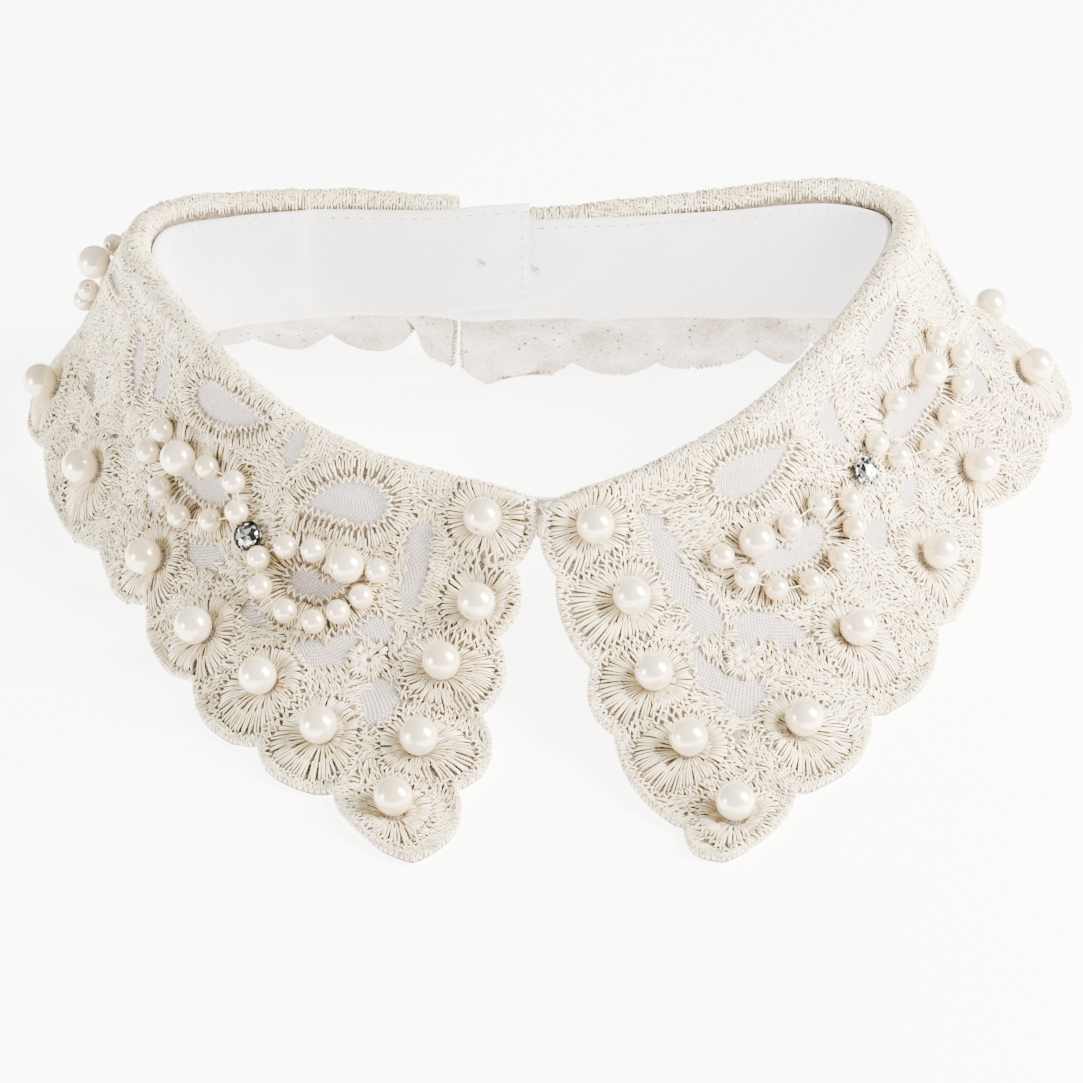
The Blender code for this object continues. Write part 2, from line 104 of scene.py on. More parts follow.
RIGHT_RIBS = (
    Rib("tip", -0.1, 79.8, 38.5, 36.0, 11.5, -0.5, 2.0, 4.0),
    Rib("s1", 15.5, 86.5, 41.0, 51.5, 33.0, 3.0, 2.5, 6.0),
    Rib("s2", 32.5, 94.5, 45.0, 68.5, 58.0, 3.5, 3.0, 6.5),
    Rib("s3", 47.5, 105.5, 49.0, 84.5, 87.5, 4.0, 2.5, 6.5),
    Rib("s4", 62.0, 122.5, 54.0, 98.0, 126.5, 7.0, 1.5, 5.5),
    Rib("s5", 74.0, 142.0, 58.5, 115.5, 154.0, 10.0, 0.5, 6.0),
    Rib("s6", 80.5, 156.0, 62.0, 119.5, 184.0, 10.0, 0.0, 5.0),
    Rib("b1", 79.5, 166.0, 63.5, 104.0, 200.0, 9.0, 0.0, 5.0),
    Rib("b2", 69.5, 170.8, 64.5, 82.0, 201.5, 8.5, 0.5, 4.5),
    Rib("b3", 57.0, 171.5, 64.5, 63.5, 193.0, 9.0, -0.5, 6.0),
    Rib("b4", 43.0, 171.2, 62.5, 50.5, 196.5, 5.8, 1.5, 5.2),
    Rib("b5", 26.0, 170.5, 60.8, 27.0, 190.0, 6.5, -0.5, 5.5),
    Rib("b6", 7.0, 169.8, 58.8, 7.0, 191.0, 6.0, 0.5, 8.5),
    Rib("end", -17.8, 169.5, 57.5, -19.0, 184.5, 8.0, 0.5, 0.0),
)
RIGHT_FRONT = (
    Notch("f1", -0.1, 79.8, 38.5, 1.6),
    Notch("f2", 3.0, 71.5, 28.5, 2.2),
    Notch("f3", 10.0, 58.0, 15.0, 2.5),
    Notch("f4", 15.0, 45.0, 8.0, 3.0),
    Notch("tip", 28.5, 22.0, 2.0, 3.0),
)

# The neck band: how tall it is at these shares of its length, and its two ends where it is lapped.
BAND_HEIGHT = ((0.0, 25.5), (0.05, 27.5), (0.2, 30.0), (0.34, 24.0), (0.46, 10.0), (0.5, 9.0),
               (0.54, 10.0), (0.66, 24.0), (0.78, 30.0), (0.9, 27.0), (1.0, 24.5))
BAND_LEFT_END = (Lap(-2.7, 161.8, 64.3), Lap(-13.5, 162.1, 63.4), Lap(-25.0, 164.0, 61.2))
BAND_RIGHT_END = (Lap(-14.0, 165.3, 57.2), Lap(-25.5, 166.6, 57.0))
# The stretch of each wing's fold that carries the band, and the number of places along it.
BAND_ALONG_LEFT = (0.86, 0.05, 28)
BAND_ALONG_RIGHT = (0.05, 0.93, 30)
# How far the band's top rises towards the fold at these places along the wings.
BAND_RISE_LEFT = ((0.0, 0.0), (0.75, 0.0), (0.86, 1.4), (1.0, 1.4))
BAND_RISE_RIGHT = ((0.0, 0.0), (0.7, 0.0), (0.79, 0.9), (0.86, 1.8), (0.93, 3.2), (1.0, 3.2))
SNAP_PLACE = (-11.0, 44.0)

LEFT_PEARLS = (
    Spot("f1", 0.050, 0.057), Spot("f2", 0.033, 0.277), Spot("f3", 0.049, 0.483),
    Spot("f4", 0.044, 0.707), Spot("tip", 0.038, 0.903), Spot("s1", 0.123, 0.819),
    Spot("s2", 0.187, 0.779), Spot("s3", 0.261, 0.796), Spot("s4", 0.350, 0.768),
    Spot("s5", 0.458, 0.721), Spot("s6", 0.547, 0.769), Spot("b1", 0.708, 0.830),
    Spot("b2", 0.792, 0.820), Spot("b3", 0.875, 0.820), Spot("b4", 0.955, 0.800),
)
RIGHT_PEARLS = (
    Spot("f1", 0.047, 0.074), Spot("f2", 0.056, 0.278), Spot("f3", 0.049, 0.501),
    Spot("f4", 0.044, 0.691), Spot("tip", 0.034, 0.895), Spot("s1", 0.109, 0.823),
    Spot("s2", 0.184, 0.724), Spot("s3", 0.263, 0.789), Spot("s4", 0.330, 0.773),
    Spot("s5", 0.429, 0.755), Spot("s6", 0.520, 0.820), Spot("b2", 0.654, 0.820),
    Spot("b3", 0.730, 0.820), Spot("b4", 0.808, 0.820), Spot("b5", 0.885, 0.820),
    Spot("b6", 0.958, 0.840),
)
# The bows' places as (along, across).
BACK_RINGS = (
    Ring((0.603, 0.212), ((0.592, 0.340), (0.597, 0.440), (0.618, 0.510), (0.643, 0.530),
                          (0.664, 0.500), (0.678, 0.420), (0.675, 0.330), (0.657, 0.258),
                          (0.634, 0.205))),
    Ring((0.795, 0.400), ((0.818, 0.325), (0.808, 0.236), (0.782, 0.205), (0.757, 0.230),
                          (0.738, 0.300), (0.733, 0.400), (0.745, 0.490), (0.770, 0.530))),
)
LEFT_BOWS = (
    Bow("side", (0.257, 0.390), (
        Ring((0.153, 0.324), ((0.1275, 0.303), (0.136, 0.398), (0.151, 0.475), (0.166, 0.535),
                              (0.193, 0.533), (0.224, 0.516), (0.237, 0.436), (0.214, 0.340),
                              (0.189, 0.316))),
        Ring((0.367, 0.316), ((0.328, 0.276), (0.290, 0.249), (0.273, 0.329), (0.299, 0.428),
                              (0.338, 0.529), (0.381, 0.487), (0.414, 0.426), (0.409, 0.299))),
    )),
    Bow("back", (0.710, 0.350), BACK_RINGS),
)
RIGHT_BOWS = (
    Bow("side", (0.267, 0.378), (
        Ring((0.159, 0.310), ((0.132, 0.298), (0.139, 0.384), (0.158, 0.490), (0.182, 0.526),
                              (0.212, 0.532), (0.235, 0.503), (0.242, 0.394), (0.220, 0.329),
                              (0.191, 0.319))),
        Ring((0.355, 0.313), ((0.382, 0.280), (0.391, 0.414), (0.372, 0.508), (0.347, 0.538),
                              (0.320, 0.568), (0.295, 0.466), (0.285, 0.339), (0.318, 0.300))),
    )),
    Bow("back", (0.710, 0.350), BACK_RINGS),
)


def unit(vectors):
    vectors = np.asarray(vectors, float)
    return vectors / np.maximum(np.linalg.norm(vectors, axis=-1, keepdims=True), 1e-12)


def smooth_through(points, at):
    """A smooth curve through the points, read at places counted in points from the first."""
    points = np.asarray(points, float)
    at = np.atleast_1d(np.asarray(at, float))
    last = len(points) - 1
    i = np.clip(np.floor(at).astype(int), 0, last - 1)
    t = (at - i).reshape((-1,) + (1,) * (points.ndim - 1))
    ends = np.concatenate([[2 * points[0] - points[1]], points, [2 * points[-1] - points[-2]]])
    p0, p1, p2, p3 = ends[i], ends[i + 1], ends[i + 2], ends[i + 3]
    return 0.5 * (
        2 * p1 + (p2 - p0) * t + (2 * p0 - 5 * p1 + 4 * p2 - p3) * t**2
        + (3 * p1 - p0 - 3 * p2 + p3) * t**3
    )


def evenly(places, steps):
    """The places with evenly spaced values between them."""
    values = [places[0]]
    for start, end in zip(places, places[1:]):
        values += [start + (end - start) * k / steps for k in range(1, steps + 1)]
    return np.array(values)


def run_length(points):
    """How far along a line each of its points lies."""
    return np.concatenate([[0], np.cumsum(np.linalg.norm(np.diff(points, axis=0), axis=1))])


def whole_turn(count):
    """Evenly spaced angles round a whole turn."""
    return 2 * math.pi * np.arange(count) / count


def by_turns(count):
    """Plus and minus one by turns."""
    return np.where(np.arange(count) % 2 == 0, 1.0, -1.0)


def softened(values, times):
    """A closed row of values, each drawn this many times towards its two neighbours."""
    for _ in range(times):
        values = (np.roll(values, 1) + 2 * values + np.roll(values, -1)) / 4
    return values


def ring_quads(rings, sides, closed=False):
    """Four-cornered faces between rings of points; closed joins the last ring to the first."""
    i, j = np.meshgrid(np.arange(rings if closed else rings - 1), np.arange(sides), indexing="ij")
    a, b = i * sides + j, i * sides + (j + 1) % sides
    c, d = (b + sides) % (rings * sides), (a + sides) % (rings * sides)
    return np.stack([a, b, c, d], axis=-1).reshape(-1, 4)


def steps_for(shift, pu, pv):
    """How far along and across a vector in millimetres goes, by the cloth's slopes there."""
    a, b, c = (pu * pu).sum(-1), (pu * pv).sum(-1), (pv * pv).sum(-1)
    r, s = (shift * pu).sum(-1), (shift * pv).sum(-1)
    det = np.maximum(a * c - b * b, 1e-6)
    return (c * r - b * s) / det, (a * s - b * r) / det


# The grid's rows above the fold's end: across = -ARC_SHARE at the fold's inner side, and
# -ARC_SHARE - LEG_SHARE at the raw edge that is turned in.
ARC_SHARE = 0.11
LEG_SHARE = 0.12
ARC_ROWS = 14
LEG_ROWS = 6
# The grid's steps from rib to rib and from notch to notch, and those of the cloth that is drawn
GRID_STEPS = (36, 30)
CLOTH_STEPS = (18, 14)


class Wing:
    """A wing's outer face as a fine grid of points, read at any place along and across."""

    def __init__(self, side, ribs, front, pearls, bows):
        self.side = side
        self.turn = 1.0 if side == "left" else -1.0
        self.ribs, self.front, self.pearls, self.bows = ribs, front, pearls, bows
        self.crests = np.array([(r.crest_x, r.crest_y, r.crest_z) for r in ribs])
        self.edges = np.array([(r.edge_x, r.edge_y, r.edge_z) for r in ribs])
        self.bulges = np.array([r.bulge for r in ribs])
        self.count = len(ribs) - 1
        notches = [(n.x, n.y, n.z) for n in front] + [tuple(self.edges[0])]
        self.notches = np.array(notches, float)
        lengths = np.linalg.norm(np.diff(self.notches, axis=0), axis=1)
        self.notch_at = np.concatenate([[0.0], np.cumsum(lengths)]) / lengths.sum()
        self.random = np.random.default_rng(7 if side == "left" else 8)
        self.us, wall_rows = self.places(*GRID_STEPS)
        leg_rows = np.linspace(-ARC_SHARE - LEG_SHARE, -ARC_SHARE, LEG_ROWS, endpoint=False)
        arc_rows = np.linspace(-ARC_SHARE, 0.0, ARC_ROWS, endpoint=False)
        self.vs = np.concatenate([leg_rows, arc_rows, wall_rows])
        plain = self.face_grid()
        self.set_grid(plain)
        self.plain = self.tables
        self.set_grid(plain + self.facing * self.relief()[:, :, None])

    def places(self, along, across):
        """Places along and across, with these steps from rib to rib and from notch to notch."""
        ribs = [i / self.count for i in range(self.count + 1)]
        return evenly(ribs, along), evenly(list(self.notch_at), across)

    def crest(self, u):
        return smooth_through(self.crests, np.asarray(u) * self.count)

    def slope(self, u):
        """The level direction square to the fold, away from the neck, and the wall's angle."""
        u = np.atleast_1d(u)
        ahead, behind = np.minimum(u + SLOPE_STEP, 1), np.maximum(u - SLOPE_STEP, 0)
        along = self.crest(ahead) - self.crest(behind)
        level = np.stack([-along[:, 1], along[:, 0], np.zeros(len(u))], axis=1)
        out = unit(level) * self.turn
        fall = smooth_through(self.edges, u * self.count) - self.crest(u)
        return out, np.arctan2(-fall[:, 2], (fall * out).sum(axis=1))

    def fold_point(self, u, angle):
        out, _ = self.slope(u)
        lift = np.array([0.0, 0.0, 1.0])
        around = np.sin(angle)[:, None] * out + (np.cos(angle) - 1)[:, None] * lift
        return self.crest(u) + FOLD_RADIUS * around

    def lobes(self, base, heights, away, at):
        """How far the scallops between these notches stand out, at places counted in notches."""
        i = np.minimum(at.astype(int), len(base) - 2)
        t = at - i
        chord = unit(base[i + 1] - base[i])
        toward = (base[i] + base[i + 1]) / 2 - away(i)
        out = unit(toward - chord * (toward * chord).sum(axis=1, keepdims=True))
        swell = np.sin(np.pi * np.clip(t, 0, 1)) ** SCALLOP_ROUNDNESS
        return out * (heights[i] * swell)[:, None]

    def face_grid(self):
        us, count = self.us, self.count
        out, angle = self.slope(us)
        rows = []
        for v in self.vs[self.vs < -1e-9]:
            if v < -ARC_SHARE:
                foot = self.crest(us) - out * FOLD_RADIUS + DOWN * FOLD_RADIUS
                fall = TURNED_IN - FOLD_RADIUS
                rows.append(foot + DOWN * fall * (-ARC_SHARE - v) / LEG_SHARE)
            else:
                share = 1 + v / ARC_SHARE
                rows.append(self.fold_point(us, -np.pi / 2 + (angle + np.pi / 2) * share))
        top = self.fold_point(us, angle)
        edge = smooth_through(self.edges, us * count)
        heights = np.array([r.lobe for r in self.ribs])
        outer = self.lobes(self.edges, heights, lambda i: self.crest((i + 0.5) / count),
                           np.minimum(us * count, count - 1e-6))
        vs = self.vs[self.vs > -1e-9]
        at = np.interp(vs, self.notch_at, np.arange(len(self.notch_at)))
        middle = (self.crest(BULGE_FROM) + smooth_through(self.edges, BULGE_FROM * count)) / 2
        front_heights = np.array([n.lobe for n in self.front])
        front_lobe = self.lobes(self.notches, front_heights, lambda i: middle, at)
        shift = top[0] - self.crests[0]
        front = smooth_through(self.notches, at) + shift * (1 - vs)[:, None]
        corner = (1 - vs)[:, None] * top[0] + vs[:, None] * self.edges[0]
        up = np.array([0.0, 0.0, 1.0])
        square = np.sin(angle)[:, None] * out + np.cos(angle)[:, None] * up
        bulge = smooth_through(self.bulges, us * count) * np.minimum(1.0, us / BULGE_FROM)
        u, v = us[:, None, None], vs[None, :, None]
        wall = (1 - v) * top[:, None] + v * edge[:, None] + (1 - u) * (front - corner)[None]
        wall = wall + v**LOBE_FADE * outer[:, None] + (1 - u) ** FRONT_LOBE_FADE * front_lobe[None]
        wall = wall + (square * bulge[:, None])[:, None] * (4 * v * (1 - v))
        wall[:, :, 2] = np.maximum(wall[:, :, 2], CLOTH)
        return np.concatenate([np.stack(rows, axis=1), wall], axis=1)

    def set_grid(self, points):
        """Keeps the points, their slopes along and across, and the directions they face."""
        self.points = points
        self.along = np.gradient(points, self.us, axis=0)
        self.across = np.gradient(points, self.vs, axis=1)
        self.facing = unit(np.cross(self.along, self.across)) * self.turn
        self.tables = (self.points, self.facing, self.along, self.across)

    def read(self, u, v, tables=None):
        """Points, facing directions and slopes at places along and across."""
        i = np.interp(u, self.us, np.arange(len(self.us)))
        j = np.interp(v, self.vs, np.arange(len(self.vs)))
        i0 = np.minimum(i.astype(int), len(self.us) - 2)
        j0 = np.minimum(j.astype(int), len(self.vs) - 2)
        a, b = (i - i0)[..., None], (j - j0)[..., None]
        found = []
        for table in tables or self.tables:
            low = table[i0, j0] * (1 - a) + table[i0 + 1, j0] * a
            high = table[i0, j0 + 1] * (1 - a) + table[i0 + 1, j0 + 1] * a
            found.append(low * (1 - b) + high * b)
        return found[0], unit(found[1]), found[2], found[3]

    def axes_at(self, place):
        """The point at a place and the two directions that a motif is drawn in: along and down."""
        point, _, along, across = self.read(*place)
        first = unit(along)
        second = unit(across - first * (across @ first))
        return point, first, second

    def spread(self, place, x, y):
        """The places that lie x along and y down from a place, in millimetres on the cloth."""
        point, first, second = self.axes_at(place)
        x, y = np.asarray(x, float), np.asarray(y, float)
        goal = point + x[..., None] * first + y[..., None] * second
        u, v = np.full(x.shape, float(place[0])), np.full(x.shape, float(place[1]))
        for _ in range(5):
            p, _, pu, pv = self.read(u, v)
            du, dv = steps_for(goal - p, pu, pv)
            u = np.clip(u + np.clip(du, -0.05, 0.05), 0.0, 1.0)
            v = np.clip(v + np.clip(dv, -0.2, 0.2), self.vs[0], 1.0)
        return u, v

    def round(self, place, angle, radius):
        """The places at these angles and distances from a place."""
        return self.spread(place, np.cos(angle) * radius, np.sin(angle) * radius)

    def step(self, u, v, shift):
        """The places a short way off along the cloth, by vectors in millimetres."""
        _, _, pu, pv = self.read(u, v)
        du, dv = steps_for(shift, pu, pv)
        return np.clip(u + du, 0.0, 1.0), np.clip(v + dv, self.vs[0], 1.0)

    def relief(self):
        """Height over the plain face: a soft rim round each sewn pearl, and the cloth's pucker."""
        points = self.points
        height = np.zeros(points.shape[:2])
        for spot in self.pearls:
            centre = self.read(spot.along, spot.across)[0]
            d = np.linalg.norm(points - centre, axis=2)
            height += RIM * np.exp(-((d - RIM_AT) / RIM_WIDTH) ** 2)
            height -= DIMPLE * np.exp(-(d / DIMPLE_WIDTH) ** 2)
        x, y, z = points[:, :, 0], points[:, :, 1], points[:, :, 2]
        for k, (length, depth) in enumerate(PUCKERS):
            wave = 2 * math.pi / length
            first = np.sin(wave * (x + 0.7 * z) + k)
            height += depth * first * np.sin(wave * (y - 0.4 * z) + 2 * k)
        return height * np.clip((self.vs + ARC_SHARE) / ARC_SHARE, 0, 1)[None, :]

    def seat(self, place, height):
        """A point above the solid's own face, and the direction outwards there."""
        point, facing, _, _ = self.read(*place, self.plain)
        return point + facing * height, facing


# How the embroidery stands on the cloth
RIM, RIM_AT, RIM_WIDTH = 0.8, 7.0, 2.6
DIMPLE, DIMPLE_WIDTH = 0.6, 3.6
PUCKERS = ((31.0, 0.22), (19.0, 0.16), (11.0, 0.09))
BASE_LEVEL = -0.35
BASE_THICK = 1.25
THREAD = 0.54
THREAD_LIFT = 0.55
PITCH = 0.72
STATIONS = np.array([0.0, 0.14, 0.5, 0.86, 1.0])
STATION_LIFT = np.array([-0.5, 0.75, 1.0, 0.75, -0.5])
STATION_WIDTH = np.array([0.6, 0.95, 1.0, 0.95, 0.6])
SHORT_STATIONS = np.array([0.0, 0.5, 1.0])
SHORT_LIFT = np.array([-0.35, 1.0, -0.35])
SHORT_WIDTH = np.array([0.65, 1.0, 0.65])
TONE = 0.68
TONE_SPREAD = 0.16
# Painted shade and highlight across a thread: it is darker at its two sides, where it meets its
# neighbours, and lighter on its crown.
THREAD_SHADE_ACROSS = np.array([-0.5, 0.17, -0.5])
# Painted shade round the beads: how much a thread is darkened at a bead, and the reach in
# millimetres over which it fades.
BEAD_SHADE = 0.4
BEAD_SHADE_REACH = 2.0
PIECE_STITCHES = 11500
# A fan is tried at these angles and radii. It goes this far, and more towards its scallop's edge.
FAN_ANGLES = 96
FAN_RADII = np.arange(2.4, 15.0, 0.3)
FAN_REACH, FAN_REACH_MORE = 9.0, 5.5
PAISLEY_POINTS = 90
COLUMN_WIDTH, COLUMN_SLANT = 3.0, 0.25
ROSETTE, PETALS = 5.0, 6
PATCH_SCALE = 0.85
LOOP_INSET, LOOP_WIDTH = 5.5, 8.2
# The stitches between the motifs: how many, how far over the fold they start, the areas that each
# have their own direction, the crease between two areas, and how many are placed at once.
SEEDS = 36000
SEEDS_FROM = -ARC_SHARE * 0.85
FILL_AREAS = 520
AREA_CREASE = 0.28
AT_ONCE = 3000


def new_object(name, points, faces, materials, sharp=None):
    """A mesh piece from points in millimetres and faces of three, four or more corners."""
    mesh = bpy.data.meshes.new(name)
    place = (np.asarray(points, float) - CENTRE) * MM
    place[:, 2] = np.maximum(place[:, 2], 0.0)
    if isinstance(faces, np.ndarray):
        mesh.vertices.add(len(place))
        mesh.vertices.foreach_set("co", place.astype(np.float32).ravel())
        mesh.loops.add(faces.size)
        mesh.loops.foreach_set("vertex_index", faces.astype(np.int32).ravel())
        mesh.polygons.add(len(faces))
        starts = np.arange(len(faces), dtype=np.int32) * faces.shape[1]
        mesh.polygons.foreach_set("loop_start", starts)
        mesh.update(calc_edges=True)
    else:
        mesh.from_pydata([tuple(p) for p in place], [], [tuple(int(i) for i in f) for f in faces])
        mesh.update()
    mesh.validate()
    mesh.shade_smooth()
    if sharp is not None:
        mesh.set_sharp_from_angle(angle=math.radians(sharp))
    for material in materials:
        mesh.materials.append(material)
    made = bpy.data.objects.new(name, mesh)
    bpy.context.collection.objects.link(made)
    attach(made, "root")
    return made


def give_values(piece, name, values, kind="FLOAT"):
    """Stores a value for each of the piece's points, for its material to read."""
    layer = piece.data.attributes.new(name, kind, "POINT")
    key = "value" if kind == "FLOAT" else "vector"
    layer.data.foreach_set(key, np.asarray(values, np.float32).ravel())


def strips(points, ups, widths, raise_by):
    """Thread-like strips, rows of stations with a rounded section, as points and faces."""
    count, stations = points.shape[:2]
    ahead = np.gradient(points, axis=1)
    side = unit(np.cross(ups, ahead))
    half = (widths / 2)[:, :, None]
    crown = points + ups * raise_by[:, :, None]
    foot = points + ups * (raise_by - widths * 0.55)[:, :, None]
    rows = np.stack([foot + side * half, crown, foot - side * half], axis=2)
    flat = rows.reshape(-1, 3)
    k = (np.arange(count)[:, None, None] * stations + np.arange(stations - 1)[None, :, None]) * 3
    k = k + np.arange(2)[None, None, :]
    quads = np.stack([k, k + 1, k + 4, k + 3], axis=-1).reshape(-1, 4)
    a, b, c = flat[quads[:, 0]], flat[quads[:, 1]], flat[quads[:, 3]]
    face_up = np.repeat(ups[:, :-1].reshape(-1, 3), 2, axis=0)
    wrong = (np.cross(b - a, c - a) * face_up).sum(axis=1) < 0
    quads[wrong] = quads[wrong][:, ::-1]
    return flat, quads


def inside(u, v, outline):
    """Which places lie inside a closed outline of places."""
    pu, pv = outline
    qu, qv = np.roll(pu, -1), np.roll(pv, -1)
    crosses = (pv[None] > v[:, None]) != (qv[None] > v[:, None])
    rise = np.where(np.abs(qv - pv) < 1e-9, 1e-9, qv - pv)
    at = pu[None] + (v[:, None] - pv[None]) / rise[None] * (qu - pu)[None]
    return (crosses & (u[:, None] < at)).sum(axis=1) % 2 == 1


class Embroidery:
    """The stitches of one wing, gathered motif by motif; a later motif goes round earlier ones."""

    def __init__(self, wing):
        self.wing = wing
        self.rows, self.short, self.loose = [], [], []
        self.taken, self.bare = [], []

    def add(self, start, end, width=THREAD, lift=THREAD_LIFT, level=0.0, bow=0.0, under=True,
            short=False):
        u0, v0 = (np.asarray(c, float) for c in start)
        u1, v1 = (np.asarray(c, float) for c in end)
        keep = np.ones(len(u0), bool)
        if under:
            mu, mv = (u0 + u1) / 2, (v0 + v1) / 2
            for outline in self.taken + self.bare:
                keep &= ~inside(mu, mv, outline)
        random = self.wing.random
        size = len(u0)
        values = [u0, v0, u1, v1]
        values += [np.broadcast_to(np.asarray(x, float), size) for x in (width, lift, level, bow)]
        values.append(TONE + TONE_SPREAD * random.standard_normal(size))
        (self.short if short else self.rows).append(np.stack(values, axis=1)[keep])

    def stations(self, rows, at, station_lift, station_width):
        u0, v0, u1, v1, width, lift, level, bow, tone = np.concatenate(rows).T
        u = u0[:, None] + (u1 - u0)[:, None] * at
        v = v0[:, None] + (v1 - v0)[:, None] * at
        points, ups, _, _ = self.wing.read(u, v)
        ahead = np.gradient(points, axis=1)
        side = unit(np.cross(ups, ahead))
        points = points + side * (bow[:, None] * 4 * at * (1 - at))[:, :, None]
        widths = width[:, None] * station_width
        raised = level[:, None] + lift[:, None] * station_lift
        return points, ups, widths, raised, np.repeat(tone[:, None], len(at), axis=1)

    def make(self, materials, beads):
        """The stitches' pieces. Threads near a bead are darkened: painted shade round each bead."""
        satin = [self.stations(self.rows, STATIONS, STATION_LIFT, STATION_WIDTH)] + self.loose
        filling = [self.stations(self.short, SHORT_STATIONS, SHORT_LIFT, SHORT_WIDTH)]
        pieces = []
        for kind, parts, most in (("satin", satin, PIECE_STITCHES),
                                  ("filling", filling, 2 * PIECE_STITCHES)):
            points, ups, widths, raised, tones = (np.concatenate(x) for x in zip(*parts))
            # Painted shade: strongest next to a bead's surface.
            shade = np.zeros(points.shape[:2])
            for centre, radius in zip(*beads):
                gap = np.linalg.norm(points - centre, axis=2) - radius
                shade = np.maximum(shade, np.exp(-(np.maximum(gap, 0) / BEAD_SHADE_REACH) ** 2))
            tones = np.clip(tones - BEAD_SHADE * shade, 0.0, 1.0)
            for k, first in enumerate(range(0, len(points), most), 1):
                part = slice(first, first + most)
                flat, quads = strips(points[part], ups[part], widths[part], raised[part])
                name = f"wing_{self.wing.side}_{kind}_{k}"
                piece = new_object(name, flat, quads, materials)
                # Each thread's tone, with painted shade at its sides and a painted highlight on its
                # crown.
                across = tones[part].reshape(-1, 1) + THREAD_SHADE_ACROSS
                give_values(piece, "tone", np.clip(across, 0.0, 1.0))
                pieces.append(piece)
        return pieces


def teeth(work, place, x, y, before, after, level, sweep=0.4):
    """Short slanting stitches across a closed line, turned one way and the other by turns."""
    random = work.wing.random
    nx, ny = outward(x, y)
    slant = sweep * by_turns(len(x)) + random.uniform(-0.2, 0.2, len(x))
    low = before * random.uniform(0.7, 1.2, len(x))
    high = after * random.uniform(0.7, 1.25, len(x))
    start = work.wing.spread(place, x + nx * low - ny * slant, y + ny * low + nx * slant)
    end = work.wing.spread(place, x + nx * high + ny * slant, y + ny * high - nx * slant)
    bow = random.uniform(-0.25, 0.25, len(x))
    work.add(start, end, THREAD * 0.9, THREAD_LIFT * 0.9, level, bow)


def outward(x, y):
    """The outward directions of a closed line."""
    dx = np.roll(x, -1) - np.roll(x, 1)
    dy = np.roll(y, -1) - np.roll(y, 1)
    length = np.maximum(np.hypot(dx, dy), 1e-9)
    sign = 1.0 if (x * np.roll(y, -1) - y * np.roll(x, -1)).sum() > 0 else -1.0
    nx, ny = softened(sign * dy / length, 3), softened(-sign * dx / length, 3)
    length = np.maximum(np.hypot(nx, ny), 1e-9)
    return nx / length, ny / length


def resample(x, y, pitch):
    """A closed line's points again, evenly spaced at about this pitch."""
    px, py = np.append(x, x[0]), np.append(y, y[0])
    length = np.concatenate([[0.0], np.cumsum(np.hypot(np.diff(px), np.diff(py)))])
    count = max(int(length[-1] / pitch), 8)
    at = np.arange(count) * length[-1] / count
    return np.interp(at, length, px), np.interp(at, length, py)


def ring_of_stitches(work, place, x, y, width):
    """Radial satin stitches round a closed line that stays bare, with teeth along both edges."""
    wing, random = work.wing, work.wing.random
    nx, ny = outward(x, y)
    outer_x, outer_y = x + nx * width, y + ny * width
    px, py = resample(outer_x, outer_y, PITCH)
    steps = np.argmin(np.hypot(px[:, None] - outer_x[None], py[:, None] - outer_y[None]), axis=1)
    qx, qy = x[steps], y[steps]
    share = np.where(by_turns(len(px)) > 0, 0.15, 0.42)
    begin = share * random.uniform(0.8, 1.2, len(px))
    reach = random.uniform(0.88, 1.04, len(px))
    start = wing.spread(place, qx + (px - qx) * begin, qy + (py - qy) * begin)
    end = wing.spread(place, qx + (px - qx) * reach, qy + (py - qy) * reach)
    bow = random.uniform(-0.18, 0.18, len(px))
    work.add(start, end, THREAD, THREAD_LIFT * 1.1, 0.1, bow)
    teeth(work, place, *resample(x, y, 0.78), -0.75, 0.95, 0.22)
    teeth(work, place, *resample(outer_x, outer_y, 0.8), -0.9, 0.85, 0.12, 0.5)
    work.taken.append(wing.spread(place, outer_x, outer_y))
    work.bare.append(wing.spread(place, x, y))


def paisley_line(drop):
    """A drop with a bent tail, turned to its heading from the direction along the fold."""
    t = whole_turn(PAISLEY_POINTS)
    x = np.cos(t)
    y = 1.3 * np.sin(t) * np.abs(np.sin(t / 2)) ** 1.1
    bend = drop.curl * np.clip(x + 0.1, 0, None) ** 2
    x, y = x * drop.length / 2, y * drop.breadth / 2 + bend
    turn = math.radians(drop.heading)
    return x * math.cos(turn) - y * math.sin(turn), x * math.sin(turn) + y * math.cos(turn)


